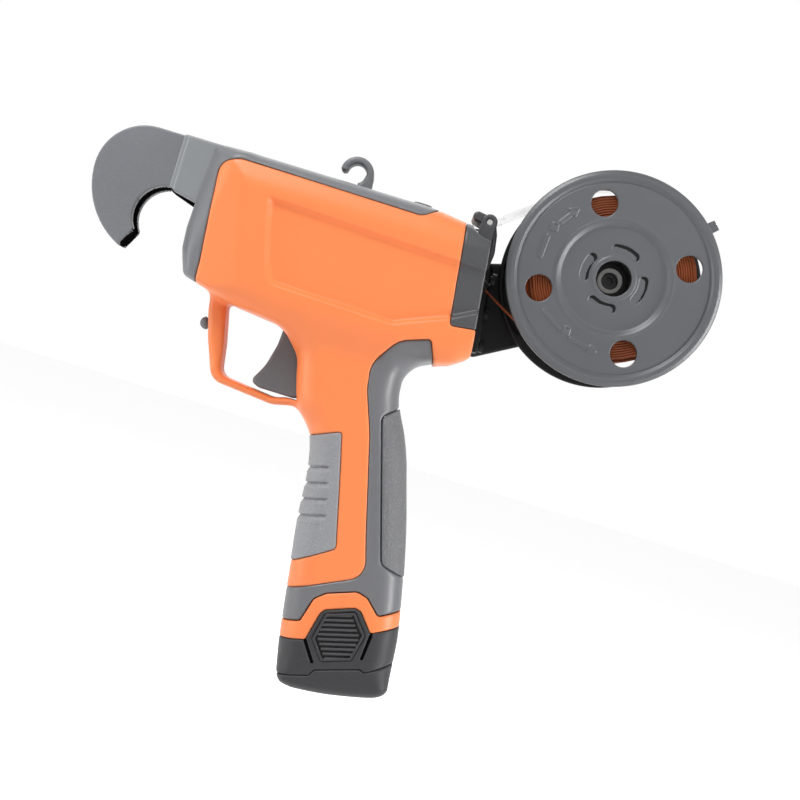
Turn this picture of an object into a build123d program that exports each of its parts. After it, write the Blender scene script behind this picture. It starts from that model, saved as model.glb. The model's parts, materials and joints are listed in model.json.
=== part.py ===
"""Electric vine tying tool, in millimetres.

The jaw points to -X, the wire reel is at +X, the handle hangs down (-Z) and y = 0 is the
parting plane of the two body shells. The origin is the middle of the jaw's mouth.
"""
from build123d import *
import math
import os

# Fits and clearances
SEAM_GAP = 0.35         # gap between pieces that move past each other
RUN_FIT = 0.05          # radial clearance of a shaft in its bore
THREAD_FIT = 0.02       # radial clearance of a screw in its pilot hole

# Body barrel
BODY_HALF = 28.0        # half width of the barrel
BODY_WALL = 2.5
BODY_CORNER = 12.0      # rounding between flank and top or bottom
BODY_TOP = 38.4
FRONT_HALF = 14.0       # half width of the bumper's front face
FLANK_START = 25.0      # where the flank reaches its full width
BODY_REAR = 138.0       # rear face at z = 0
REAR_LEAN = 0.118       # how far the rear face leans forward per mm of height
REAR_TAPER = 1.5        # how much narrower the barrel is at its rear, each side
FAR = 60.0              # cutting slabs reach this far to each side
PANEL_DEPTH = 1.0       # recessed panel on each flank

# Handle and battery
AXIS_LEAN = 10.5        # lean of the battery's axis, degrees
AXIS_X = 117.4
AXIS_Z = -117.0
CELL_R = 9.1
CELL_LENGTH = 65.0
CELL_GAP = 0.05
STEM_WALL = 1.0
STEM_TOP = -38.0        # along the axis, downwards from its middle
STEM_BOTTOM = 14.0
HANDLE_WALL = 2.05
HANDLE_CORNER = 12.0
BATTERY_SWELL = 1.2     # how much wider the battery's foot is than the handle, each side
BATTERY_FOOT = 51.3     # lowest face of the battery along the axis
BATTERY_WALL = 2.2
TAB_TRAVEL = 1.2        # of the release tabs
TAB_PROUD = 0.3
PAD_PROUD = 0.5
PAD_DEPTH = 1.0

# Jaw
PLATE_OUTER = 8.5       # half thickness of the jaw
PLATE_INNER = 4.5
JAW_BORE_R = 13.7
JAW_BORE_X = -1.0
JAW_BORE_Z = 2.0
JAW_CROWN_R = 22.0
JAW_CROWN_X = -14.0
GUIDE_SET_BACK = 3.0    # wire channel behind the jaw's inner edge
NOSE_HALF = 10.0

# Trigger, guard and buttons
TRIGGER_HALF = 7.5
TRIGGER_TRAVEL = 6.5
GUARD_HALF = 8.0
GUARD_BUTTON_R = 2.8
BUTTON_TRAVEL = 0.8
TOP_BUTTON_LENGTH = 8.3
TOP_BUTTON_WIDTH = 6.0
TOP_BUTTON_X = 102.2
TOP_BUTTON_RISE = 2.7

# Hang hook
HANG_HALF = 4.0
HANG_X = 71.4
HANG_RISE = 6.6         # loop centre above the spine
HANG_INNER_R = 4.0
HANG_BAR = 3.25

# Latch
LATCH_X = BODY_REAR - 6.4
LATCH_Z = BODY_TOP + 2.1
LATCH_BOSS_R = 2.9
LATCH_PIN_R = 1.2
LATCH_HALF = 9.0
LATCH_SIDE = 0.4        # gap beside the lever
LATCH_REACH = 7.4       # thumb tab ahead of the pin
NOTCH_FLOOR = LATCH_Z - 6.9
TAB_UNDERSIDE = LATCH_Z - 0.9
EAR_THICK = 2.6
SPRING_X = LATCH_X - 4.3
SPRING_R = 1.6
SPRING_WIRE = 0.5
SPRING_TURNS = 4

# Reel
FLANGE_R = 45.0
REEL_CLEAR = 4.5        # between the body's rear face and the flanges
REEL_X = BODY_REAR + REEL_CLEAR + FLANGE_R
REEL_Z = 31.8
REEL_HALF = 22.5
FLANGE_THICK = 2.4
RIM_RISE = 0.6
RIM_WIDTH = 4.0
FLANGE_HOLE_R = 5.6
FLANGE_HOLE_AT = 31.5
FLANGE_HOLE_TURN = 24.0
SLOT_AT = 12.5
SLOT_WIDTH = 3.3
SLOT_SWEEP = 45.0
SLOT_TURN = -8.0
WINDOW_AT = FLANGE_R - 9.0
WINDOW_WIDTH = 9.0
WINDOW_SWEEP = 52.0
HUB_R = 17.0
HUB_MOUTH_R = 7.4
SPINDLE_R = 5.3
SPINDLE_BORE = 3.7
SPINDLE_END = -9.0
WIRE_D = 1.0
WINDING_TURNS = 24
WINDING_PITCH = 1.5
WINDING_CORE_R = 32.8
WINDING_LIFT = 0.1      # tube stands this far off the core
ARM_GAP = 1.5
ARM_THICK = 6.0
KEEPER_R = FLANGE_R - 4.5
KEEPER_HALF = REEL_HALF - 7.5
KEEPER_THICK = 0.8
KEEPER_START = (LATCH_X + 5.0, LATCH_Z + 3.1)
KEEPER_END = 42.0       # angle where the strip ends, degrees

# Drive inside the barrel
TWIST_R = 6.0
TWIST_SHAFT_R = 3.0
BEARING_R = 8.0
MOTOR_R = 14.0
WIRE_LINE = 26.5        # height of the guided wire
GUIDE_R = 1.5
GUIDE_BORE = 0.7
FEED_X = 120.0
FEED_Z = 11.5
FEED_R = 6.0
PINCH_R = 5.0
NIP = 1.5
GEAR_MODULE = 0.8
GEAR_TEETH = 30
PINION_TEETH = 12
GEAR_BACKLASH = 0.2     # taken off each tooth's thickness
GEAR_WIDTH = 4.0
FEED_MOTOR_R = 9.0
SCREW_R = 1.5
SCREW_HEAD_R = 2.8
SCREW_HEAD = 2.2        # height of a screw's head
SCREW_HEX_R = 1.4
SCREW_BITE = 10.0       # thread in the far shell
BOSS_R = 3.8


def sharp(points):
    """Closed x-z outline with straight sides."""
    return make_face(Polyline(*points, close=True))


def rounded(points):
    """Closed x-z outline; each point is x, z and the radius of its corner."""
    corners = [(x, z) for x, z, _ in points]
    return make_face(FilletPolyline(*corners, radius=[r for _, _, r in points], close=True))


def slab(outline, y_low, y_high):
    """Solid between two y planes with an x-z outline."""
    plane = Plane((0, y_high, 0), x_dir=(1, 0, 0), z_dir=(0, -1, 0))
    return extrude(plane * outline, amount=y_high - y_low)


def block(x_low, x_high, y_low, y_high, z_low, z_high):
    """Box between two corners."""
    middle = Pos((x_low + x_high) / 2, (y_low + y_high) / 2, (z_low + z_high) / 2)
    return middle * Box(x_high - x_low, y_high - y_low, z_high - z_low)


def rod_x(x_low, x_high, radius, y=0.0, z=0.0):
    """Round bar along X."""
    return extrude(Plane((x_low, y, z), z_dir=(1, 0, 0)) * Circle(radius), amount=x_high - x_low)


def rod_y(y_low, y_high, radius, x, z):
    """Round bar along Y."""
    return extrude(Plane((x, y_low, z), z_dir=(0, 1, 0)) * Circle(radius), amount=y_high - y_low)


def polar(radius, angle, x=0.0, z=0.0):
    """Point at an angle from +X towards +Z."""
    turn = math.radians(angle)
    return (x + radius * math.cos(turn), z + radius * math.sin(turn))


def mirrored(shape):
    """The same piece on the other side of the parting plane."""
    return mirror(shape, about=Plane.XZ)


def save(name, shape):
    """Write one piece under its node name."""
    export_step(shape, f"parts/{name}.step")


os.makedirs("parts", exist_ok=True)

# Barrel: rounded cross sections along X, trimmed by the side and the plan outline
BARREL_SECTIONS = [
    (0.0, -15.0, BODY_TOP),
    (15.0, -18.4, BODY_TOP),
    (36.0, -24.4, BODY_TOP),
    (60.0, -27.0, BODY_TOP),
    (100.0, -26.5, BODY_TOP),
    (BODY_REAR - 14, -24.4, BODY_TOP - 2.2),
    (BODY_REAR - 5, -22.0, BODY_TOP - 3.4),
    (BODY_REAR + 8, -13.0, BODY_TOP - 5.0),
]


def rear_x(z):
    """Where the leaning rear face stands at a height."""
    return BODY_REAR - REAR_LEAN * z


def barrel(inset):
    """Solid barrel, drawn in by a wall thickness."""
    sections = []
    for x, bottom, top in BARREL_SECTIONS:
        plane = Plane((x, 0, (bottom + top) / 2), x_dir=(0, 1, 0), z_dir=(1, 0, 0))
        tall = top - bottom - 2 * inset
        sections.append(plane * RectangleRounded(2 * (BODY_HALF - inset), tall, BODY_CORNER - inset))
    skin = loft(sections, ruled=True)
    side = sharp([
        (13.4, 50), (9.9, 12), (9.2, 1), (10.2, -7.5), (13.5, -18.8), (24, -40),
        (rear_x(-40), -40), (rear_x(50), 50),
    ])
    rear_half = BODY_HALF - REAR_TAPER
    taper_x = BODY_REAR - 20
    behind = BODY_REAR + 12
    plan = rounded([
        (8, -FRONT_HALF, 4), (FLANK_START, -BODY_HALF, 10), (taper_x, -BODY_HALF, 30),
        (behind, -rear_half, 0), (behind, rear_half, 0),
        (taper_x, BODY_HALF, 30), (FLANK_START, BODY_HALF, 10), (8, FRONT_HALF, 4),
    ])
    if inset:
        side = offset(side, -inset, kind=Kind.INTERSECTION)
        plan = offset(plan, -inset, kind=Kind.INTERSECTION)
    return skin & slab(side, -FAR, FAR) & extrude(Plane.XY.offset(-FAR) * plan, amount=2 * FAR)


# Handle: sections between a front and a rear point, leaning with the battery's axis lower down
LEAN = math.radians(AXIS_LEAN)
AXIS_DIR = (math.sin(LEAN), 0, -math.cos(LEAN))
ACROSS_DIR = (math.cos(LEAN), 0, math.sin(LEAN))
STEM_HALF_Y = 2 * CELL_R + CELL_GAP / 2 + STEM_WALL
STEM_HALF_U = CELL_R + (CELL_R + CELL_GAP / 2) * math.sqrt(3) / 2 + STEM_WALL + 0.2
STEM_CORNER = CELL_R + 0.4
HANDLE_HALF = STEM_HALF_Y + SEAM_GAP + HANDLE_WALL


def on_axis(across, along):
    """Point of the handle's own x-z frame: across it, and down along the battery's axis."""
    x = AXIS_X + across * ACROSS_DIR[0] + along * AXIS_DIR[0]
    z = AXIS_Z + across * ACROSS_DIR[2] + along * AXIS_DIR[2]
    return (x, z)


# along the axis, depth in front of the battery stem and depth behind it
HANDLE_RUN = [
    (-40, 3.6, 3.0), (-20, 5.5, 4.6), (0, 6.7, 5.1), (14, 7.7, 5.2), (26, 8.3, 5.1),
    (36, 8.7, 4.3), (45.5, 8.3, 3.4), (49.5, 6.8, 1.9), (BATTERY_FOOT, 3.3, -1.6),
]
UPPER_HANDLE = [
    ((60, -21), (128, -21)), ((65, -30), (117.3, -30)), ((70.3, -38), (116.1, -38)),
    ((72.6, -46), (118, -46)), ((76.5, -57), (124, -56.5)), ((84.7, -66.5), (128.5, -66)),
]


def handle_section(front, rear, half, inset):
    """Rounded section that spans from a front to a rear point."""
    across = (rear[0] - front[0], 0, rear[1] - front[1])
    length = math.hypot(across[0], across[2])
    middle = ((front[0] + rear[0]) / 2, 0, (front[1] + rear[1]) / 2)
    down = (across[2] / length, 0, -across[0] / length)
    plane = Plane(middle, x_dir=across, z_dir=down)
    return plane * RectangleRounded(length - 2 * inset, 2 * (half - inset), HANDLE_CORNER - inset)


def run_section(index, half, inset):
    """Section of the handle's straight run, by its place in the list."""
    along, front, rear = HANDLE_RUN[index]
    front_point = on_axis(-STEM_HALF_U - front, along)
    rear_point = on_axis(STEM_HALF_U + rear, along)
    return handle_section(front_point, rear_point, half, inset)


def handle(inset):
    """Solid handle down to the battery, drawn in by a wall thickness."""
    upper = [handle_section(front, rear, HANDLE_HALF, inset) for front, rear in UPPER_HANDLE]
    return loft(upper + [run_section(i, HANDLE_HALF, inset) for i in range(6)])


def battery_foot(inset):
    """Solid foot of the battery, a little wider than the handle, rounded at its lowest edge."""
    swell = [0.0, 0.2, 0.7, BATTERY_SWELL, BATTERY_SWELL, BATTERY_SWELL - 1.4, BATTERY_SWELL - 4.5]
    sections = [run_section(i + 2, HANDLE_HALF + grow, inset) for i, grow in enumerate(swell)]
    return loft(sections, ruled=True)


# Side outlines of the coloured regions
BEZEL_TOP = [
    (86, -142.6), (96.3, -144.3), (104.5, -141.6), (106.8, -132.2), (110.3, -128.6),
    (124.2, -123.6), (128.7, -124.5), (134.6, -130.2), (143.3, -127.6), (156, -122),
]
BEZEL_FOOT = [
    (86, -150.5), (97.3, -151.4), (108.6, -148.0), (112.0, -135.4), (113.9, -134.1),
    (124.2, -130.2), (127.9, -131.0), (133.4, -138.2), (144.3, -134.2), (156, -129),
]
CASE_FOOT = [
    (86, -170), (101, -164.6), (114.8, -161.6), (117, -157.5), (134, -152.6), (137.5, -154.4),
    (156, -146),
]


def below(line, drop=0.0):
    """Region under a line, let down along the battery's axis."""
    moved = [(x + drop * AXIS_DIR[0], z + drop * AXIS_DIR[2]) for x, z in line]
    return sharp(moved + [(170, -240), (70, -240)])


SPINE_REGION = rounded([
    (22.4, -60, 0), (20.9, -11.4, 60), (17.2, 30.5, 8), (26.0, 33.7, 8), (104, 32.8, 6), (114, 41, 0),
    (114, 70, 0), (-60, 70, 0), (-60, -60, 0),
])
CAP_REGION = rounded([
    (BODY_REAR - 16.2, 70, 0), (BODY_REAR - 15.6, 35, 0), (BODY_REAR - 10.2, -7.2, 1.5),
    (BODY_REAR + 12, -4.4, 0), (BODY_REAR + 12, 70, 0),
])
STRAP_REGION = rounded([
    (122.4, -14.6, 2), (109.5, -19.0, 12), (101.4, -31, 12), (103.0, -42, 20), (109.4, -59.4, 60),
    (120.0, -99.3, 60), (123.9, -115.2, 5), (113, -123.2, 10), (100, -129.2, 20), (80, -133, 0),
    (80, -240, 0), (170, -240, 0), (170, -27, 0), (127.4, -27, 0),
])
FRONT_PAD_REGION = rounded([
    (75, -69.6, 0), (97.9, -62.3, 2), (105.2, -87.5, 60), (110.6, -109.6, 3), (80, -126.5, 0),
])
REAR_PAD_REGION = rounded([
    (130, -41.2, 0), (112.0, -51.8, 4), (119.6, -76.2, 60), (129.4, -108.6, 5), (160, -117.2, 0),
    (160, -41.2, 0),
])
PANEL_REGION = rounded([
    (40.6, 22.4, 2), (150, 18.6, 0), (150, -4.8, 0), (125.6, -4.8, 2), (105.2, -13.7, 6), (52.1, -12.4, 4),
    (47.8, -4.8, 6),
])

GUARD_OUTLINE = rounded([
    (26.4, -20, 0), (28.0, -30, 30), (31.2, -41, 40), (37.6, -57.6, 7), (65.3, -60.2, 10), (77.4, -57.4, 8),
    (86.2, -67.5, 0), (95, -62, 0), (92, -50, 0), (73.9, -54.3, 2), (65.3, -57.0, 10), (40.7, -54.4, 5),
    (38.6, -41, 40), (36.0, -30, 30), (33.6, -20, 0),
])
TRIGGER_OUTLINE = rounded([
    (61.0, -28.1, 0.5), (60.6, -35, 20), (58.2, -45, 20), (53.9, -53.0, 2.6), (58, -54.9, 6),
    (73.5, -55.0, 1.5), (80, -52, 0), (80, -36, 0), (68, -30.5, 2),
])

outer = barrel(0) + handle(0)
cavity = barrel(BODY_WALL) + handle(HANDLE_WALL)
above_battery = slab(sharp(BEZEL_TOP + [(170, 80), (-60, 80), (-60, -142.6)]), -FAR, FAR)
walls = (outer - cavity) & above_battery

# Cuts through the walls: trigger slot, flank panels, grip pads, buttons
trigger_slot = block(50, 84, -TRIGGER_HALF - SEAM_GAP, TRIGGER_HALF + SEAM_GAP, -55.6, -27.4)
panel_cut = slab(PANEL_REGION, BODY_HALF - PANEL_DEPTH, FAR)
pad_bed = handle(PAD_DEPTH)
pad_skin = handle(-PAD_PROUD) - pad_bed
front_pad_slab = slab(FRONT_PAD_REGION, -FAR, FAR)
rear_pad_slab = slab(REAR_PAD_REGION, -FAR, FAR)
pad_room = (outer - pad_bed) & (front_pad_slab + rear_pad_slab)
walls -= panel_cut
walls -= mirrored(panel_cut)
walls -= pad_room

spine_slab = slab(SPINE_REGION, -FAR, FAR)
cap_slab = slab(CAP_REGION, -FAR, FAR)
strap_slab = slab(STRAP_REGION, -FAR, FAR)

# Guard button: its axis is square to the guard's front bar
GUARD_BUTTON_DIR = (0.961, 0, 0.275)
GUARD_BUTTON_AT = (29.2, 0, -34.7)
button_plane = Plane(GUARD_BUTTON_AT, z_dir=GUARD_BUTTON_DIR)
BUTTON_STEM_R = GUARD_BUTTON_R - 0.4
BUTTON_STEM = 3.0
BUTTON_LIFT = SEAM_GAP + BUTTON_TRAVEL
pocket_face = button_plane * Circle(BUTTON_STEM_R + RUN_FIT)
button_pocket = extrude(pocket_face, amount=BUTTON_STEM + BUTTON_LIFT)
button_seat = extrude(button_plane * Circle(GUARD_BUTTON_R + 6), amount=-8)
guard = slab(GUARD_OUTLINE, -GUARD_HALF, GUARD_HALF) - cavity - pad_room - button_pocket - button_seat
dome_cut = Box(2 * GUARD_BUTTON_R, 2 * GUARD_BUTTON_R, 2 * GUARD_BUTTON_R)
dome = Sphere(GUARD_BUTTON_R) - Pos(0, 0, GUARD_BUTTON_R) * dome_cut
guard_button = button_plane.offset(-BUTTON_LIFT) * dome
stem_face = button_plane.offset(-BUTTON_LIFT - 1) * Circle(BUTTON_STEM_R)
guard_button += extrude(stem_face, amount=BUTTON_STEM + BUTTON_LIFT)
save("guard_button", guard_button)

# Orange shells with screw bosses; the screws enter from the +Y side
SCREW_SPOTS = [
    (31, 18), (31, -13), (56, -18.3), (84, -19), (98, -19), (135, -15), (90, -57.3), (113.5, 31.5),
]
SCREW_SEAT = BODY_HALF - 12.0
ARM_SCREW_SPOTS = [(14, 20), (14, -9.5), (20.5, 5)]
ARM_SCREW_BITE = 4.5
arm_screw_holes = [
    rod_x(rear_x(z) - ARM_SCREW_BITE - 1, rear_x(z) + 2, SCREW_R + THREAD_FIT, y, z)
    for y, z in ARM_SCREW_SPOTS
]
orange = walls - spine_slab - cap_slab - strap_slab + (guard - strap_slab)
orange -= trigger_slot
left_shell = orange & block(-60, 240, -FAR, 0, -240, 90)
right_shell = orange & block(-60, 240, 0, FAR, -240, 90)
body_fill = outer - strap_slab - spine_slab - cap_slab - pad_room
left_bosses = []
right_bosses = []
screws = []
for spot_x, spot_z in SCREW_SPOTS:
    left_bosses.append(rod_y(-FAR, 0, BOSS_R, spot_x, spot_z))
    right_bosses.append(rod_y(0, FAR, BOSS_R, spot_x, spot_z))
    shank = rod_y(-SCREW_BITE, SCREW_SEAT, SCREW_R, spot_x, spot_z)
    head = rod_y(SCREW_SEAT, SCREW_SEAT + SCREW_HEAD, SCREW_HEAD_R, spot_x, spot_z)
    head_plane = Plane((spot_x, SCREW_SEAT + SCREW_HEAD, spot_z), z_dir=(0, -1, 0))
    socket = extrude(head_plane * RegularPolygon(SCREW_HEX_R, 6), amount=SCREW_HEX_R)
    screws.append(shank + head - socket)
for boss in left_bosses:
    left_shell += boss & body_fill
for boss in right_bosses:
    right_shell += boss & body_fill
for spot_x, spot_z in SCREW_SPOTS:
    left_shell -= rod_y(-SCREW_BITE - 1, 0, SCREW_R + THREAD_FIT, spot_x, spot_z)
    right_shell -= rod_y(0, SCREW_SEAT, SCREW_R + 0.2, spot_x, spot_z)
    right_shell -= rod_y(SCREW_SEAT, FAR, SCREW_HEAD_R + 0.3, spot_x, spot_z)
right_shell -= arm_screw_holes
save("left_shell", left_shell)
save("right_shell", right_shell)
save("shell_screws", Compound(children=screws))

# Front bumper and spine with the twister's window, the nose socket and the button hole
TENON_HALF = NOSE_HALF - 2
TENON_LOW = 18.0
TENON_HIGH = 33.0
TENON_GAP = 0.1
WINDOW_SIDE = 1.5
WINDOW_RISE = 2.5
top_button_slot = Pos(TOP_BUTTON_X, 0, 0) * SlotOverall(TOP_BUTTON_LENGTH + 0.6, TOP_BUTTON_WIDTH + 0.6)
front_cover = walls & spine_slab
window_half = TWIST_R + WINDOW_SIDE
window_high = TWIST_R + WINDOW_RISE
front_cover -= block(0, 20, -window_half, window_half, -window_high, window_high)
front_cover -= block(0, 20, -TENON_HALF, TENON_HALF, TENON_LOW, TENON_HIGH)
front_cover -= extrude(Plane.XY.offset(30) * top_button_slot, amount=20)
save("front_cover", front_cover)

# Nose block with its tenon, and the jaw: two plates with the wire channel between them
JAW_TIP = (-16.6, -14.5)
JAW_CROWN_Z = BODY_TOP - JAW_CROWN_R
JAW_BACK = 8.0
SWEEP_R = 34.0
sweep_x = JAW_CROWN_X - JAW_CROWN_R + SWEEP_R


def jaw_outline(set_back):
    """Hook outline; the inner edge stands back by a depth."""
    bore = JAW_BORE_R + set_back
    crown_left = (JAW_CROWN_X - JAW_CROWN_R, JAW_CROWN_Z)
    crown_middle = polar(JAW_CROWN_R, 135, JAW_CROWN_X, JAW_CROWN_Z)
    belly = polar(SWEEP_R, 205, sweep_x, JAW_CROWN_Z)
    lip = polar(bore, 216, JAW_BORE_X, JAW_BORE_Z)
    roof = (JAW_BORE_X, JAW_BORE_Z + bore)
    edges = [
        Line((JAW_BACK, BODY_TOP), (JAW_CROWN_X, BODY_TOP)),
        ThreePointArc((JAW_CROWN_X, BODY_TOP), crown_middle, crown_left),
        ThreePointArc(crown_left, belly, JAW_TIP),
        Line(JAW_TIP, lip),
        ThreePointArc(lip, polar(bore, 150, JAW_BORE_X, JAW_BORE_Z), roof),
        Line(roof, (JAW_BACK, JAW_BORE_Z + bore)),
        Line((JAW_BACK, JAW_BORE_Z + bore), (JAW_BACK, BODY_TOP)),
    ]
    return make_face(edges)


jaw_plate = slab(jaw_outline(0), -PLATE_OUTER, -PLATE_INNER)
jaw_guide = slab(jaw_outline(GUIDE_SET_BACK), -PLATE_INNER, PLATE_INNER)
guide_groove = slab(jaw_outline(GUIDE_SET_BACK) - jaw_outline(GUIDE_SET_BACK + WIRE_D), -WIRE_D, WIRE_D)
save("jaw_left_plate", jaw_plate)
save("jaw_right_plate", mirrored(jaw_plate))
save("jaw_wire_guide", jaw_guide - guide_groove)
nose_outline = sharp([(-0.9, BODY_TOP), (-0.9, 14.5), (11, 11.9), (14, 16), (14, BODY_TOP)])
nose = slab(nose_outline, -NOSE_HALF, NOSE_HALF)
nose -= barrel(0)
tenon_half = TENON_HALF - TENON_GAP
nose += block(9, 15, -tenon_half, tenon_half, TENON_LOW + TENON_GAP, TENON_HIGH - TENON_GAP)
nose -= slab(jaw_outline(0), -PLATE_OUTER, PLATE_OUTER)
nose -= block(JAW_BACK - 1, 16, -WIRE_D, WIRE_D, WIRE_LINE - WIRE_D, WIRE_LINE + WIRE_D)
save("nose_block", nose)

# Rear cap with the latch seat, ears and wire inlet
INLET_Z = 14.8
INLET_R = 3.0
INLET_TURN = math.radians(-30)
SEAT_HALF = LATCH_HALF + 4.5
seat_outline = sharp([
    (LATCH_X - LATCH_REACH, 31), (rear_x(31) - 1, 31), (rear_x(36) - 1, 36.6), (LATCH_X - LATCH_REACH, 38),
])
cap_top = slab(seat_outline, -SEAT_HALF, SEAT_HALF)
ear_outline = sharp([
    (LATCH_X - 3.0, LATCH_Z - 7.5), (LATCH_X + 1.6, LATCH_Z - 7.5), (LATCH_X + 3.0, LATCH_Z - 1),
    (KEEPER_START[0] + 1.2, KEEPER_START[1] - 0.4),
    (KEEPER_START[0] - 1.6, KEEPER_START[1] - 2.4), (LATCH_X - LATCH_BOSS_R, LATCH_Z),
])
notch_half = LATCH_HALF + LATCH_SIDE
ear = slab(ear_outline, -notch_half - EAR_THICK, -notch_half)
ear += rod_y(-notch_half - EAR_THICK, -notch_half, LATCH_BOSS_R, LATCH_X, LATCH_Z)
cap_walls = walls & cap_slab
rear_cap = cap_walls + (cap_top & barrel(0) & cap_slab)
rear_cap -= block(LATCH_X - LATCH_REACH - 0.6, BODY_REAR + 12, -notch_half, notch_half, NOTCH_FLOOR, FAR)
rear_cap += ear
rear_cap += mirrored(ear)
rear_cap -= rod_y(-40, 40, LATCH_PIN_R + THREAD_FIT, LATCH_X, LATCH_Z)
inlet_dir = (math.cos(INLET_TURN), 0, math.sin(INLET_TURN))
inlet_plane = Plane((rear_x(INLET_Z), 0, INLET_Z), z_dir=inlet_dir)
rear_cap -= extrude(inlet_plane.offset(-8) * Circle(INLET_R), amount=16)
inlet_bush = extrude(inlet_plane.offset(-4.5) * (Circle(INLET_R) - Circle(0.8)), amount=7)
save("wire_inlet_bush", inlet_bush)

# Latch lever, its pin and spring
lever_low = LATCH_Z - 18.5
lever_bend = LATCH_Z - 8.5
lever_outline = rounded([
    (LATCH_X - 1, LATCH_Z - LATCH_BOSS_R, 0), (LATCH_X - LATCH_BOSS_R, LATCH_Z - 1.0, 1.0),
    (LATCH_X - LATCH_REACH, TAB_UNDERSIDE, 0.8), (LATCH_X - LATCH_REACH, LATCH_Z + 2.1, 1.4),
    (LATCH_X - 5.1, LATCH_Z + 3.6, 2), (LATCH_X, LATCH_Z + LATCH_BOSS_R, 2),
    (LATCH_X + LATCH_BOSS_R, LATCH_Z + 0.6, 2), (LATCH_X + 4.7, LATCH_Z - 4.3, 2.0),
    (LATCH_X + 6.0, LATCH_Z - 12.0, 10), (LATCH_X + 5.3, lever_low, 0.6),
    (rear_x(lever_low) + SEAM_GAP, lever_low, 0.2), (rear_x(lever_bend) + SEAM_GAP, lever_bend, 0.5),
    (rear_x(lever_bend + 2) + SEAM_GAP, lever_bend + 2.2, 0.5),
])
lever = slab(lever_outline, -LATCH_HALF, LATCH_HALF) - rod_y(-30, 30, LATCH_PIN_R + RUN_FIT, LATCH_X, LATCH_Z)
rear_cap -= arm_screw_holes
save("rear_cap", rear_cap)
save("latch_lever", lever)
save("latch_pin", rod_y(-LATCH_HALF - EAR_THICK, LATCH_HALF + EAR_THICK, LATCH_PIN_R, LATCH_X, LATCH_Z))


def biarc(start, start_dir, end, end_dir):
    """Two tangent arcs between two points with given directions."""
    chord = end - start
    total = start_dir + end_dir
    bend = 2 * (start_dir.dot(end_dir) - 1)
    slope = -2 * chord.dot(total)
    room = chord.dot(chord)
    reach = (-slope - math.sqrt(slope * slope - 4 * bend * room)) / (2 * bend)
    joint = ((start + start_dir * reach) + (end - end_dir * reach)) * 0.5
    first = Edge.make_tangent_arc(start, start_dir, joint)
    second = Edge.make_tangent_arc(end, end_dir * -1, joint)
    return [first, second]


def coil(radius, pitch, turns, wire, steps):
    """Helix tube about Z from z = 0, on biarcs, with straight ends, and its least gap to itself."""
    rise = pitch / (2 * math.pi)
    places = []
    for index in range(turns * steps + 1):
        turn = 2 * math.pi * index / steps
        point = Vector(radius * math.cos(turn), radius * math.sin(turn), rise * turn)
        along = Vector(-radius * math.sin(turn), radius * math.cos(turn), rise).normalized()
        places.append((point, along))
    first, last = places[0], places[-1]
    edges = [Edge.make_line(first[0] - first[1] * wire, first[0])]
    for (point, along), (next_point, next_along) in zip(places, places[1:]):
        edges += biarc(point, along, next_point, next_along)
    edges.append(Edge.make_line(last[0], last[0] + last[1] * wire))
    path = Wire(edges)
    samples = [edge @ share for edge in edges for share in (0.0, 0.25, 0.5, 0.75)]
    apart = 4 * steps
    gap = min(
        (samples[i] - samples[j]).length
        for i in range(len(samples))
        for j in range(i + apart, min(i + 3 * apart, len(samples)))
    )
    section = Plane(path @ 0, z_dir=path % 0) * Circle(wire / 2)
    return sweep(section, path=path), gap - wire


spring_length = TAB_UNDERSIDE - NOTCH_FLOOR
spring_pitch = (spring_length - SPRING_WIRE - 0.8) / SPRING_TURNS
spring, spring_gap = coil(SPRING_R, spring_pitch, SPRING_TURNS, SPRING_WIRE, 4)
print("latch spring least gap", round(spring_gap, 3))
save("latch_spring", Pos(SPRING_X, 0, NOTCH_FLOOR + SPRING_WIRE / 2 + 0.2) * spring)

# Handle back strap with its collar, and the two grip pads
back_strap = (walls & strap_slab) + (guard & strap_slab)
save("handle_back_strap", back_strap)
GROOVE_WIDTH = 1.5
groove_cut = []
for groove in range(4):
    low = (86 + 0.6 * groove, -82.4 - 6.75 * groove)
    high = (96.6 + 1.4 * groove, -77.6 - 6.6 * groove)
    side_x = (low[1] - high[1]) / 11 * GROOVE_WIDTH / 2
    side_z = (high[0] - low[0]) / 11 * GROOVE_WIDTH / 2
    stripe = sharp([
        (low[0] + side_x, low[1] + side_z), (high[0] + side_x, high[1] + side_z),
        (high[0] - side_x, high[1] - side_z), (low[0] - side_x, low[1] - side_z),
    ])
    groove_cut.append(slab(stripe, -FAR, FAR))
front_pad = pad_skin & front_pad_slab
for stripe in groove_cut:
    front_pad -= stripe - handle(0)
save("front_grip_pad", front_pad)
save("rear_grip_pad", pad_skin & rear_pad_slab)

# Trigger with its guide and plunger, and the switch behind it
SWITCH_X = 88.0
PLUNGER_R = 2.0
PLUNGER_Z = -44.0
trigger = slab(TRIGGER_OUTLINE, -TRIGGER_HALF, TRIGGER_HALF)
trigger += rod_x(78, SWITCH_X + 3, PLUNGER_R, 0, PLUNGER_Z)
save("trigger", trigger)
switch = block(SWITCH_X, 103, -9, 9, -53, -34)
switch += block(101, 103, -HANDLE_HALF + HANDLE_WALL, HANDLE_HALF - HANDLE_WALL, -52, -36)
switch -= rod_x(SWITCH_X - 1, SWITCH_X + 3 + TRIGGER_TRAVEL + SEAM_GAP, PLUNGER_R + RUN_FIT, 0, PLUNGER_Z)
save("trigger_switch", switch & cavity)

# Spine button
cap_slot = SlotOverall(TOP_BUTTON_LENGTH, TOP_BUTTON_WIDTH)
top_button = extrude(Pos(TOP_BUTTON_X, 0, BODY_TOP - 1.6) * cap_slot, amount=TOP_BUTTON_RISE + 1.6)
top_button = fillet(top_button.faces().sort_by(Axis.Z)[-1].edges(), 0.8)
BOARD_Z = 30.5
BOARD_THICK = 1.6
top_button += Pos(TOP_BUTTON_X, 0, BODY_TOP - 2.75) * Box(3, 3, 2.5)
save("spine_button", top_button)

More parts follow.
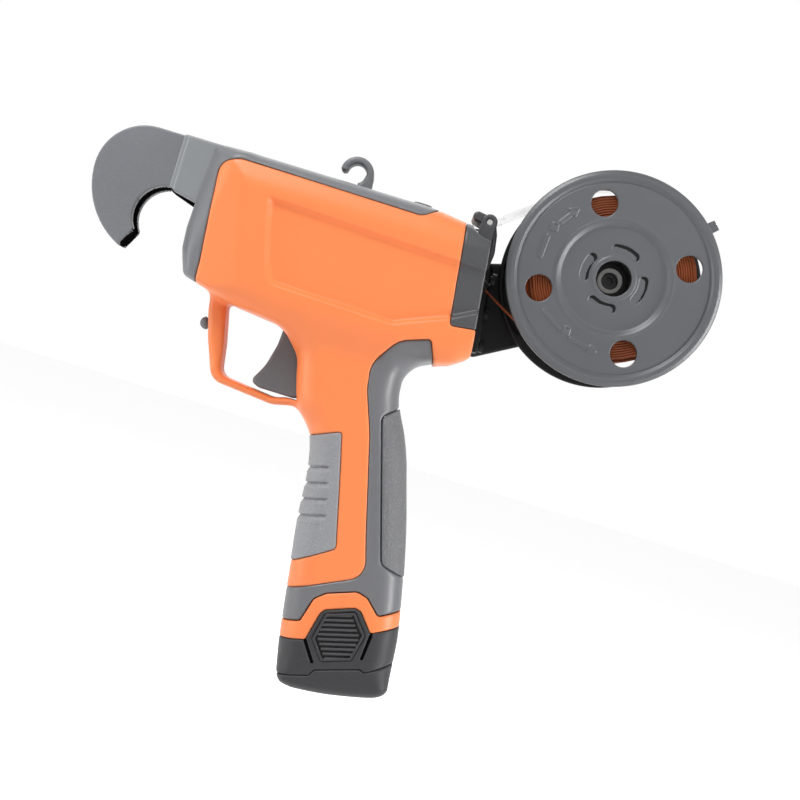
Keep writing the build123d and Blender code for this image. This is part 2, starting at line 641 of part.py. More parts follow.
# Hang hook: a bar bent over the spine, open towards the jaw
hang_z = BODY_TOP + HANG_RISE
hang_outer = HANG_INNER_R + HANG_BAR
loop = Pos(HANG_X, hang_z) * (Circle(hang_outer) - Circle(HANG_INNER_R))
mouth_x = HANG_X + 1.5
loop -= sharp([(HANG_X - 20, hang_z), (mouth_x, hang_z), (mouth_x, hang_z - 20), (HANG_X - 20, hang_z - 20)])
foot = sharp([
    (HANG_X + 2.6, BODY_TOP), (HANG_X + hang_outer + 0.6, BODY_TOP),
    (HANG_X + hang_outer, hang_z), (HANG_X + HANG_INNER_R, hang_z),
    polar(HANG_INNER_R, -50, HANG_X, hang_z),
])
foot -= Pos(HANG_X, hang_z) * Circle(HANG_INNER_R)
above_spine = sharp([(40, BODY_TOP), (110, BODY_TOP), (110, 90), (40, 90)])
save("hang_hook", slab((loop + foot) & above_spine, -HANG_HALF, HANG_HALF))

# Reel: hub, two flanges, wire core and the outer layer of wire
INNER_FACE = REEL_HALF - FLANGE_THICK - RIM_RISE


def about_reel(outline):
    """Place an outline drawn about the reel's centre."""
    return Pos(REEL_X, REEL_Z) * outline


rim = about_reel(Circle(FLANGE_R) - Circle(FLANGE_R - RIM_WIDTH))
web = about_reel(Circle(FLANGE_R) - Circle(HUB_MOUTH_R))
front_flange = slab(web, -INNER_FACE - FLANGE_THICK, -INNER_FACE) + slab(rim, -REEL_HALF, -INNER_FACE)
back_flange = slab(web, INNER_FACE, INNER_FACE + FLANGE_THICK) + slab(rim, INNER_FACE, REEL_HALF)
for quarter in range(4):
    hole_x, hole_z = polar(FLANGE_HOLE_AT, FLANGE_HOLE_TURN + 90 * quarter, REEL_X, REEL_Z)
    front_flange -= rod_y(-FAR, 0, FLANGE_HOLE_R, hole_x, hole_z)
    slot_middle = SLOT_TURN + 90 * quarter
    slot_arc = CenterArc((REEL_X, REEL_Z), SLOT_AT, slot_middle - SLOT_SWEEP / 2, SLOT_SWEEP)
    front_flange -= slab(SlotArc(slot_arc, SLOT_WIDTH), -FAR, 0)
    window_start = FLANGE_HOLE_TURN + 90 * quarter - WINDOW_SWEEP / 2
    window_arc = CenterArc((REEL_X, REEL_Z), WINDOW_AT, window_start, WINDOW_SWEEP)
    back_flange -= slab(SlotArc(window_arc, WINDOW_WIDTH), 0, FAR)
save("reel_front_flange", front_flange)
save("reel_back_flange", back_flange)
hub = slab(about_reel(Circle(HUB_R) - Circle(HUB_MOUTH_R)), -INNER_FACE, INNER_FACE)
hub += slab(about_reel(Circle(HUB_MOUTH_R) - Circle(SPINDLE_R + RUN_FIT)), SPINDLE_END + 1, REEL_HALF - 1)
save("reel_hub", hub)
save("wire_core", slab(about_reel(Circle(WINDING_CORE_R) - Circle(HUB_R)), -INNER_FACE, INNER_FACE))
tube_at = WINDING_CORE_R + WINDING_LIFT + WIRE_D / 2
winding, winding_gap = coil(tube_at, WINDING_PITCH, WINDING_TURNS, WIRE_D, 2)
print("winding least gap", round(winding_gap, 3))
winding_start = WINDING_PITCH * WINDING_TURNS / 2
save("wire_winding", Pos(REEL_X, winding_start, REEL_Z) * Rot(90, 0, 0) * winding)

# Reel arm on the far side, its spindle and screws
SPINDLE_SCREW_R = 2.0
ARM_NEAR = REEL_HALF + ARM_GAP
ARM_FAR = ARM_NEAR + ARM_THICK
FOOT_THICK = 4.0
SEAT_GAP = 0.1
FOOT_LOW = -13.0
FOOT_HIGH = 26.0
arm = slab(rounded([
    (rear_x(27) + SEAT_GAP, 27, 0), (BODY_REAR + 6, 29.6, 20), (REEL_X - 17.5, 44, 30),
    (REEL_X + 13, REEL_Z + 14, 13), (REEL_X + 13, REEL_Z - 14, 13), (REEL_X - 25.5, -3.6, 30),
    (rear_x(-14) + 3, -14.6, 3), (rear_x(-14) + SEAT_GAP, -14, 0),
]), ARM_NEAR, ARM_FAR)
arm += slab(sharp([
    (rear_x(FOOT_HIGH) + SEAT_GAP, FOOT_HIGH), (rear_x(FOOT_HIGH) + FOOT_THICK, FOOT_HIGH),
    (rear_x(FOOT_LOW) + FOOT_THICK, FOOT_LOW), (rear_x(FOOT_LOW) + SEAT_GAP, FOOT_LOW),
]), LATCH_HALF + 1, ARM_NEAR)
arm_screws = []
for screw_y, screw_z in ARM_SCREW_SPOTS:
    seat = rear_x(screw_z) + FOOT_THICK
    arm -= rod_x(seat - 10, seat + 5, SCREW_R + THREAD_FIT, screw_y, screw_z)
    screw = rod_x(seat - FOOT_THICK - ARM_SCREW_BITE, seat + 0.6, SCREW_R, screw_y, screw_z)
    screw += rod_x(seat + 0.6, seat + 2.4, SCREW_HEAD_R, screw_y, screw_z)
    arm_screws.append(screw)
arm -= slab(about_reel(Circle(SPINDLE_SCREW_R + THREAD_FIT)), ARM_NEAR - 1, ARM_NEAR + 4.2)
save("reel_arm", arm)
save("arm_screws", Compound(children=arm_screws))
spindle = slab(about_reel(Circle(SPINDLE_R) - Circle(SPINDLE_BORE)), SPINDLE_END, ARM_NEAR)
spindle += slab(about_reel(Circle(SPINDLE_R + 3) - Circle(SPINDLE_BORE)), REEL_HALF + SEAM_GAP, ARM_NEAR)
save("reel_spindle", spindle)
spindle_screw = slab(about_reel(Circle(SPINDLE_BORE - 0.1)), -5, -2)
spindle_screw += slab(about_reel(Circle(SPINDLE_SCREW_R)), -2, ARM_NEAR + 4)
spindle_screw -= slab(about_reel(RegularPolygon(2, 6)), -6, -3)
save("spindle_screw", spindle_screw)

# Clear keeper strip over the reel, with its end tab and a wire tail
start_x = KEEPER_START[0] - REEL_X
start_z = KEEPER_START[1] - REEL_Z
reach = math.hypot(start_x, start_z)
start_angle = math.degrees(math.atan2(start_z, start_x))
touch_angle = start_angle - math.degrees(math.acos(KEEPER_R / reach))
outer_r = KEEPER_R + KEEPER_THICK
TAB_TIP_R = FLANGE_R + 7
TAB_HALF = 6.0
lift = polar(KEEPER_THICK, touch_angle, *KEEPER_START)
mid_angle = (touch_angle + KEEPER_END) / 2
keeper_edges = [
    Line(KEEPER_START, polar(KEEPER_R, touch_angle, REEL_X, REEL_Z)),
    ThreePointArc(
        polar(KEEPER_R, touch_angle, REEL_X, REEL_Z), polar(KEEPER_R, mid_angle, REEL_X, REEL_Z),
        polar(KEEPER_R, KEEPER_END, REEL_X, REEL_Z),
    ),
    Line(polar(KEEPER_R, KEEPER_END, REEL_X, REEL_Z), polar(outer_r, KEEPER_END, REEL_X, REEL_Z)),
    ThreePointArc(
        polar(outer_r, KEEPER_END, REEL_X, REEL_Z), polar(outer_r, mid_angle, REEL_X, REEL_Z),
        polar(outer_r, touch_angle, REEL_X, REEL_Z),
    ),
    Line(polar(outer_r, touch_angle, REEL_X, REEL_Z), lift),
    Line(lift, KEEPER_START),
]
save("keeper_strip", slab(make_face(keeper_edges), -KEEPER_HALF, KEEPER_HALF))
tab = sharp([
    polar(outer_r, KEEPER_END, REEL_X, REEL_Z), polar(TAB_TIP_R, KEEPER_END, REEL_X, REEL_Z),
    polar(TAB_TIP_R, KEEPER_END + 5, REEL_X, REEL_Z), polar(outer_r, KEEPER_END + 7, REEL_X, REEL_Z),
])
tab -= about_reel(Circle(outer_r))
WIRE_TAIL_D = 0.5
tail_start = polar(TAB_TIP_R - 3, KEEPER_END + 2, REEL_X, REEL_Z)
tail_end = (REEL_X + 44.1, REEL_Z + 46.2)
tail_path = Line((tail_start[0], 0, tail_start[1]), (tail_end[0], 0, tail_end[1]))
wire_tail = sweep(Plane(tail_path @ 0, z_dir=tail_path % 0) * Circle(WIRE_TAIL_D / 2), path=tail_path)
save("keeper_tab", slab(tab, -TAB_HALF, TAB_HALF) - wire_tail)
save("wire_tail", wire_tail)

# Tie wire from the reel into the inlet: points of its route, in order
FEED_ROUTE = [
    (138.42, 0.0, 13.55), (149.0, -0.5, 7.45), (160.3, -1.2, 1.9), (171.5, -2.0, -1.75),
    (180.0, -2.6, -2.95), (186.5, -3.0, -3.05),
]


def cord(points, diameter):
    """Round cord along straight runs joined by the largest tangent arcs that the runs allow."""
    places = [Vector(*point) for point in points]
    radii = []
    for before, at, after in zip(places, places[1:], places[2:]):
        turn = math.radians((at - before).get_angle(after - at))
        shorter = min((at - before).length, (after - at).length)
        radii.append(0.45 * shorter / math.tan(turn / 2))
    path = FilletPolyline(*points, radius=radii)
    tube = sweep(Plane(path @ 0, z_dir=path % 0) * Circle(diameter / 2), path=path)
    print("cord radii", [round(radius, 1) for radius in radii], "length", round(path.length, 2))
    expected = path.length * math.pi * diameter ** 2 / 4
    print("cord volume", round(tube.volume, 3), "expected", round(expected, 3))
    return tube


save("tie_wire_feed", cord(FEED_ROUTE, WIRE_D))


# Battery: stem with three cells, bezel, case, bottom cover, contacts and release tabs
def axis_plane(along):
    """Plane square to the battery's axis."""
    x, z = on_axis(0, along)
    return Plane((x, 0, z), x_dir=ACROSS_DIR, z_dir=AXIS_DIR)


def axis_block(along_low, along_high, across_low, across_high, y_low, y_high):
    """Box in the battery's own frame."""
    flat = Pos((across_low + across_high) / 2, (y_low + y_high) / 2)
    face = flat * Rectangle(across_high - across_low, y_high - y_low)
    return extrude(axis_plane(along_low) * face, amount=along_high - along_low)


STEM_LID = 1.5
room_half_u = STEM_HALF_U - STEM_WALL
room_half_y = STEM_HALF_Y - STEM_WALL
stem_solid = extrude(
    axis_plane(STEM_TOP) * RectangleRounded(2 * STEM_HALF_U, 2 * STEM_HALF_Y, STEM_CORNER),
    amount=STEM_BOTTOM - STEM_TOP,
)
stem_room = extrude(
    axis_plane(STEM_TOP + STEM_LID)
    * RectangleRounded(2 * room_half_u, 2 * room_half_y, STEM_CORNER - STEM_WALL),
    amount=STEM_BOTTOM - STEM_TOP,
)
save("battery_stem", stem_solid - stem_room)
cell_side = CELL_R + CELL_GAP / 2
cell_rise = cell_side * math.sqrt(3) / 2
cell_spots = [(-cell_rise, 0), (cell_rise, cell_side), (cell_rise, -cell_side)]
cells = [
    extrude(axis_plane(STEM_TOP + STEM_LID) * Pos(*spot) * Circle(CELL_R), amount=CELL_LENGTH)
    for spot in cell_spots
]
save("battery_cells", Compound(children=cells))

foot = battery_foot(0)
room_span = axis_block(STEM_BOTTOM, BATTERY_FOOT - BATTERY_WALL, -FAR, FAR, -FAR, FAR)
foot_room = battery_foot(BATTERY_WALL) & room_span
under_bezel = slab(below(BEZEL_FOOT), -FAR, FAR)
under_case = slab(below(CASE_FOOT), -FAR, FAR)
bezel = (foot & slab(below(BEZEL_TOP, SEAM_GAP), -FAR, FAR)) - under_bezel - stem_solid - foot_room
case = (foot & under_bezel) - under_case - stem_solid - foot_room
bottom = (foot & under_case) - foot_room
TAB_OUT = HANDLE_HALF + BATTERY_SWELL + TAB_PROUD
TAB_IN = STEM_HALF_Y + 1.4
TAB_OUTLINE = sharp([
    (114.6, -135.6), (126.2, -132.6), (131.2, -139.8), (129.0, -151.2), (117.3, -154.6), (111.3, -145.4),
])
pocket_outline = offset(TAB_OUTLINE, SEAM_GAP, kind=Kind.INTERSECTION)
tab_pocket = slab(pocket_outline, TAB_IN - TAB_TRAVEL - SEAM_GAP, FAR)
case -= tab_pocket
case -= mirrored(tab_pocket)
release_tab = slab(TAB_OUTLINE, TAB_IN, TAB_OUT)
TAB_GROOVES = 8
TAB_GROOVE_START = 20.4
TAB_GROOVE_STEP = 2.3
TAB_GROOVE_WIDTH = 0.9
TAB_GROOVE_DEPTH = 0.5
for index in range(TAB_GROOVES):
    along = TAB_GROOVE_START + TAB_GROOVE_STEP * index
    groove_low = TAB_OUT - TAB_GROOVE_DEPTH
    release_tab -= axis_block(along, along + TAB_GROOVE_WIDTH, -30, 30, groove_low, TAB_OUT + 1)
SLIT_WIDTH = 1.1
for slit_x, slit_z, slit_turn in [(110.9, -152.2, 34), (133.7, -144.4, -4)]:
    slit = Pos(slit_x, slit_z) * Rot(0, 0, slit_turn) * Rectangle(SLIT_WIDTH, 10)
    slit_cut = slab(slit, HANDLE_HALF - 1.0, FAR)
    case -= slit_cut
    case -= mirrored(slit_cut)
save("battery_bezel", bezel)
save("battery_case", case)
save("battery_bottom_cover", bottom)
save("release_tab_right", release_tab)
save("release_tab_left", mirrored(release_tab))

CONTACT_REACH = 4.0
BLOCK_GAP = 2.0
contact_spots = [-8.0, 0.0, 8.0]
contacts = [axis_block(STEM_TOP - CONTACT_REACH, STEM_TOP, u - 0.4, u + 0.4, -3, 3) for u in contact_spots]
save("battery_contacts", Compound(children=contacts))
inner_half = HANDLE_HALF - HANDLE_WALL
terminal = axis_block(STEM_TOP - 12, STEM_TOP - BLOCK_GAP, -13, 13, -inner_half, inner_half) & cavity
for u in contact_spots:
    slot_high = STEM_TOP - BLOCK_GAP + 1
    terminal -= axis_block(STEM_TOP - CONTACT_REACH - 1, slot_high, u - 0.8, u + 0.8, -3.5, 3.5)
save("terminal_block", terminal)

# Twist drive along the barrel's axis: motor, gearbox, bearing, mounts and twister
MOUNT_X = 40.0
GEARBOX_X = 47.0
MOTOR_X = 68.0
MOTOR_END = 108.0
RING_X = 96.5
RING_THICK = 3.5
inside = barrel(BODY_WALL)
BEARING_WIDTH = 5.0
bearing_x = GEARBOX_X - 1.5 - BEARING_WIDTH
guide_end = (FEED_X - 7, 0, FEED_Z + FEED_R + 1.3)
guide_path = FilletPolyline((17.6, 0, WIRE_LINE), (92, 0, WIRE_LINE), guide_end, radius=40)
guide_solid = sweep(Plane(guide_path @ 0, z_dir=guide_path % 0) * Circle(GUIDE_R), path=guide_path)
guide_bore = sweep(Plane(guide_path @ 0, z_dir=guide_path % 0) * Circle(GUIDE_BORE), path=guide_path)
save("wire_guide_tube", guide_solid - guide_bore)
mount = block(MOUNT_X, GEARBOX_X, -BODY_HALF, BODY_HALF, -17, BOARD_Z) & inside
mount -= rod_x(bearing_x, bearing_x + BEARING_WIDTH, BEARING_R)
mount -= rod_x(MOUNT_X - 1, GEARBOX_X + 1, TWIST_SHAFT_R + 1)
mount -= guide_solid
save("drive_mount", mount)
ring = block(RING_X, RING_X + RING_THICK, -BODY_HALF, BODY_HALF, -15, BOARD_Z) & inside
ring -= rod_x(RING_X - 1, RING_X + RING_THICK + 1, MOTOR_R)
ring -= guide_solid
save("motor_ring", ring)
bearing = rod_x(bearing_x, bearing_x + BEARING_WIDTH, BEARING_R)
save("twister_bearing", bearing - rod_x(bearing_x - 1, GEARBOX_X, TWIST_SHAFT_R + RUN_FIT))
gearbox = rod_x(GEARBOX_X, MOTOR_X, MOTOR_R) - rod_x(GEARBOX_X - 1, GEARBOX_X + 8, TWIST_SHAFT_R + RUN_FIT)
save("gearbox", gearbox)
save("twist_motor", rod_x(MOTOR_X, MOTOR_END, MOTOR_R) + rod_x(MOTOR_END, MOTOR_END + 2, 5))
TWIST_FRONT = 13.0
TWIST_BACK = 26.0
twister = rod_x(TWIST_FRONT, TWIST_BACK, TWIST_R) + rod_x(TWIST_BACK, GEARBOX_X + 7, TWIST_SHAFT_R)
twister -= block(TWIST_FRONT - 1, TWIST_FRONT + 6, -1.2, 1.2, -10, 10)
save("twister", twister)
CUTTER_HALF = 4.0
blade = sharp([(15.5, 15), (17.1, 15), (17.1, WIRE_LINE - 2.3), (15.5, WIRE_LINE - 1.2)])
save("cutter_blade", slab(blade, -CUTTER_HALF, CUTTER_HALF))

# Wire feed: roller and pinch roller in a frame, driven through a gear pair
PLATE_NEAR = 11.0
PLATE_FAR = 13.0
ROLLER_HALF = 8.0
AXLE_R = 2.0
PINCH_AXLE_R = 1.5
PINCH_Z = FEED_Z + FEED_R + NIP + PINCH_R
GEAR_Y = PLATE_FAR + 1.0
centre_distance = GEAR_MODULE * (GEAR_TEETH + PINION_TEETH) / 2
MOTOR_AHEAD = 4.0
feed_motor_x = FEED_X + MOTOR_AHEAD
feed_motor_z = FEED_Z - math.sqrt(centre_distance ** 2 - MOTOR_AHEAD ** 2)


def gear_outline(teeth, turn):
    """Straight-flanked gear about the origin; turn is in teeth."""
    pitch_r = GEAR_MODULE * teeth / 2
    tip_r = pitch_r + GEAR_MODULE
    root_r = pitch_r - 1.25 * GEAR_MODULE
    step = 360 / teeth
    thin = math.degrees(GEAR_BACKLASH / pitch_r) / 2
    points = []
    for tooth in range(teeth):
        middle = (tooth + turn) * step
        points.append(polar(root_r, middle - 0.34 * step + thin))
        points.append(polar(tip_r, middle - 0.12 * step + thin))
        points.append(polar(tip_r, middle + 0.12 * step - thin))
        points.append(polar(root_r, middle + 0.34 * step - thin))
    return sharp(points)


mesh_angle = math.degrees(math.atan2(feed_motor_z - FEED_Z, feed_motor_x - FEED_X))
gear_turn = mesh_angle * GEAR_TEETH / 360
pinion_turn = (mesh_angle + 180) * PINION_TEETH / 360 + 0.5
feed_gear = slab(Pos(FEED_X, FEED_Z) * gear_outline(GEAR_TEETH, gear_turn), GEAR_Y, GEAR_Y + GEAR_WIDTH)
feed_roller = rod_y(-ROLLER_HALF, ROLLER_HALF, FEED_R, FEED_X, FEED_Z)
feed_roller += rod_y(-PLATE_FAR, GEAR_Y + GEAR_WIDTH, AXLE_R, FEED_X, FEED_Z)
save("feed_roller", feed_roller + feed_gear)
MOTOR_SHAFT_R = 1.2
pinion_outline = Pos(feed_motor_x, feed_motor_z) * gear_outline(PINION_TEETH, pinion_turn)
pinion = slab(pinion_outline, GEAR_Y, GEAR_Y + GEAR_WIDTH)
save("feed_pinion", pinion + rod_y(PLATE_NEAR - 4, GEAR_Y, MOTOR_SHAFT_R, feed_motor_x, feed_motor_z))
pinch = rod_y(-ROLLER_HALF, ROLLER_HALF, PINCH_R, FEED_X, PINCH_Z)
save("pinch_roller", pinch + rod_y(-PLATE_FAR, PLATE_FAR, PINCH_AXLE_R, FEED_X, PINCH_Z))
feed_motor = rod_y(-PLATE_NEAR + 0.2, PLATE_NEAR, FEED_MOTOR_R, feed_motor_x, feed_motor_z)
feed_motor -= rod_y(PLATE_NEAR - 4.5, PLATE_NEAR + 1, MOTOR_SHAFT_R + RUN_FIT, feed_motor_x, feed_motor_z)
save("feed_motor", feed_motor)
plate = block(FEED_X - 9, FEED_X + 9, PLATE_NEAR, PLATE_FAR, -12, PINCH_Z + 3)
frame = plate + mirrored(plate) + block(FEED_X - 9, FEED_X - 6.5, -PLATE_FAR, PLATE_FAR, 4, 8)
frame += block(FEED_X - 9, FEED_X - 6.5, -BODY_HALF, -PLATE_NEAR, 4, 8) & inside
frame -= rod_y(-40, 40, AXLE_R + RUN_FIT, FEED_X, FEED_Z)
frame -= rod_y(-40, 40, PINCH_AXLE_R + RUN_FIT, FEED_X, PINCH_Z)
frame -= rod_y(0, 40, MOTOR_SHAFT_R + 0.8, feed_motor_x, feed_motor_z)
save("feed_frame", frame)

# Control board on the two mounts
board = block(42, MOTOR_END - 1, -18, 18, BOARD_Z, BOARD_Z + BOARD_THICK)
board_top = BOARD_Z + BOARD_THICK
CHIPS = [(52, 62, 5, 1.2), (66, 72, 9, 2.0), (78, 90, 6, 1.6), (100.2, 104.2, 2, 1.2)]
for low_x, high_x, half, rise in CHIPS:
    board += block(low_x, high_x, -half, half, board_top, board_top + rise)
save("control_board", board)

print("built")
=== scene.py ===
"""Electric vine tying tool: finished surfaces, materials, light and camera.

The moulded pieces are solids given by a signed distance in millimetres, negative inside, and each
one is skinned by a surface net. All of them sit in the frame's own axes: the jaw points to -X, the
reel is at +X, the handle hangs down and y = 0 is the parting plane.
"""

import json
import logging
import math
from dataclasses import dataclass
from enum import Enum
from functools import cached_property
from typing import Callable, Sequence

import bmesh
import bpy
import numpy as np
from mathutils import Matrix, Vector

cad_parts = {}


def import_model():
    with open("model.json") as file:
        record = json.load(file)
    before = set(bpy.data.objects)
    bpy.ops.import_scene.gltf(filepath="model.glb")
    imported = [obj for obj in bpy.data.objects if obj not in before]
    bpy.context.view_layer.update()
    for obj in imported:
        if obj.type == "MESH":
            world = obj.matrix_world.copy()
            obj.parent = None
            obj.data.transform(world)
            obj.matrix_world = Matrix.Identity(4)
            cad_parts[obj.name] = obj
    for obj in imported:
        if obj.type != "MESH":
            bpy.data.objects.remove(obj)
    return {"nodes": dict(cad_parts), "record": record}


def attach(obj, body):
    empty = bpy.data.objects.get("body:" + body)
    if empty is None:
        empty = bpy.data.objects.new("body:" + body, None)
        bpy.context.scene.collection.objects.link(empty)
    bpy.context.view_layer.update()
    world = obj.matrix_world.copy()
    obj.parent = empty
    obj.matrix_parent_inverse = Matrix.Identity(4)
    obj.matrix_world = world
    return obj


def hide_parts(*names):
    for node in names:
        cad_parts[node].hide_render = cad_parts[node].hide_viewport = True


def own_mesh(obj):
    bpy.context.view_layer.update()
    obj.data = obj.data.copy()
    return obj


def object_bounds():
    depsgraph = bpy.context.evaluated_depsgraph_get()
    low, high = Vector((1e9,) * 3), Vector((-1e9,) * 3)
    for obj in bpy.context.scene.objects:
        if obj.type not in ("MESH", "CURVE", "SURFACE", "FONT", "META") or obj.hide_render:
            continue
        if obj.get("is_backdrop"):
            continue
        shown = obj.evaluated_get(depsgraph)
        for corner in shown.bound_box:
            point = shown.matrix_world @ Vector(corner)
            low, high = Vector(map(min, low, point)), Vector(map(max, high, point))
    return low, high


LOG = logging.getLogger("vine_tier")
MM = 0.001
Array = np.ndarray
Solid = Callable[[Array, Array, Array], Array]
Corner = tuple[float, float, float]
Point = tuple[float, float]


class Side(Enum):
    """Which half of the tool a piece belongs to, as the sign of its y."""

    LEFT = -1
    RIGHT = 1

    @property
    def word(self) -> str:
        """The side as it stands in the names of pieces."""
        return self.name.lower()

    def span(self, near: float, far: float) -> list[float]:
        """Range of y between two distances from the parting plane, lower end first."""
        return sorted((self.value * near, self.value * far))


def ease(value: Array, low: float, high: float) -> Array:
    """Smooth rise from 0 at low to 1 at high."""
    share = np.clip((value - low) / (high - low), 0.0, 1.0)
    return share * share * (3.0 - 2.0 * share)


def meet(first: Array, second: Array, radius: Array | float) -> Array:
    """Common room of two solids with a rounded edge.

    Args:
        first: Distance to the first solid.
        second: Distance to the second solid.
        radius: Radius of the edge where they meet.

    Returns:
        Distance to the common room.
    """
    a = first + radius
    b = second + radius
    outside = np.hypot(np.maximum(a, 0.0), np.maximum(b, 0.0))
    return np.minimum(np.maximum(a, b), 0.0) + outside - radius


def join(first: Array, second: Array, blend: float) -> Array:
    """Union of two solids with a soft fillet of about the blend's size."""
    share = np.clip(0.5 + 0.5 * (second - first) / blend, 0.0, 1.0)
    return second + (first - second) * share - blend * share * (1.0 - share)


def carve(solid: Array, cut: Array, radius: float = 0.3) -> Array:
    """A solid less a cut, with a rounded rim."""
    return meet(solid, -cut, radius)


def block(x: Array, y: Array, z: Array, low: Sequence[float], high: Sequence[float]) -> Array:
    """Distance to a box between two corners."""
    gaps = [np.maximum(lo - v, v - hi) for v, lo, hi in zip((x, y, z), low, high)]
    outside = np.sqrt(sum(np.maximum(gap, 0.0) ** 2 for gap in gaps))
    return outside + np.minimum(np.maximum(np.maximum(gaps[0], gaps[1]), gaps[2]), 0.0)


def bar(x: Array, z: Array, start: Point, end: Point, radius: float) -> Array:
    """Distance in the x-z plane to a straight bar with round ends."""
    along_x, along_z = end[0] - start[0], end[1] - start[1]
    share = ((x - start[0]) * along_x + (z - start[1]) * along_z) / (along_x**2 + along_z**2)
    share = np.clip(share, 0.0, 1.0)
    return np.hypot(x - start[0] - share * along_x, z - start[1] - share * along_z) - radius


def turned(x: Array, z: Array, origin: Point, turn: float) -> tuple[Array, Array]:
    """Places along and across a direction in the x-z plane, turned from +X by radians."""
    off_x, off_z = x - origin[0], z - origin[1]
    cos, sin = math.cos(turn), math.sin(turn)
    return off_x * cos + off_z * sin, off_z * cos - off_x * sin


def smooth_line(points: Sequence[Point], steps: int = 6) -> list[Corner]:
    """Soft curve through points, as corners without a radius."""
    place = np.array([points[0], *points, points[-1]], float)
    line = []
    for before, start, end, after in zip(place, place[1:], place[2:], place[3:]):
        for step in range(steps):
            t = step / steps
            bend = 2 * start + (end - before) * t + (2 * before - 5 * start + 4 * end - after) * t**2
            bend = bend + (3 * start - before - 3 * end + after) * t**3
            line.append((float(bend[0]) / 2, float(bend[1]) / 2, 0.0))
    line.append((*points[-1], 0.0))
    return line


def arc(centre: Point, radius: float, start: float, end: float, steps: int) -> list[Corner]:
    """Corners along an arc from one angle to another, in degrees."""
    turns = np.radians(np.linspace(start, end, steps + 1))
    at_x, at_z = centre
    return [(at_x + radius * math.cos(turn), at_z + radius * math.sin(turn), 0.0) for turn in turns]


@dataclass(frozen=True)
class Outline:
    """Closed flat outline, given by its corners and the radius at each."""

    corners: tuple[Corner, ...]
    arc_steps: int = 6
    most_share: float = 0.48

    @cached_property
    def path(self) -> Array:
        """The outline as points, with its rounded corners as short arcs."""
        spots = np.array([corner[:2] for corner in self.corners], float)
        most = self.most_share
        points = []
        for index, (_, _, radius) in enumerate(self.corners):
            at, before, after = spots[index], spots[index - 1], spots[(index + 1) % len(spots)]
            back, ahead = before - at, after - at
            back_length, ahead_length = np.hypot(*back), np.hypot(*ahead)
            back, ahead = back / back_length, ahead / ahead_length
            opening = math.acos(float(np.clip(back @ ahead, -1.0, 1.0)))
            if radius <= 0 or opening > math.pi - 1e-3:
                points.append(at)
                continue
            reach = min(radius / math.tan(opening / 2), most * back_length, most * ahead_length)
            for step in range(self.arc_steps + 1):
                t = step / self.arc_steps
                weight = math.sin(opening / 2)
                shares = np.array([(1 - t) ** 2, 2 * t * (1 - t) * weight, t**2])
                curve = np.array([at + back * reach, at, at + ahead * reach])
                points.append(shares @ curve / shares.sum())
        return np.array(points)

    def distance(self, x: Array, z: Array) -> Array:
        """Signed distance of points to the outline, negative inside."""
        x, z = np.broadcast_arrays(np.asarray(x, np.float32), np.asarray(z, np.float32))
        nearest = np.full(x.shape, np.inf, np.float32)
        inside = np.zeros(x.shape, bool)
        for (ax, az), (bx, bz) in zip(self.path, np.roll(self.path, -1, 0)):
            ex, ez = bx - ax, bz - az
            wx, wz = x - ax, z - az
            share = np.clip((wx * ex + wz * ez) / (ex * ex + ez * ez + 1e-12), 0.0, 1.0)
            np.minimum(nearest, (wx - ex * share) ** 2 + (wz - ez * share) ** 2, out=nearest)
            if abs(ez) > 1e-9:
                inside ^= ((az > z) != (bz > z)) & (wx < ex * wz / ez)
        return np.where(inside, -1.0, 1.0) * np.sqrt(nearest)


def outline(*corners: Corner | Point) -> Outline:
    """Outline from corners, where a missing radius is none."""
    return Outline(tuple(corner if len(corner) == 3 else (*corner, 0.0) for corner in corners))


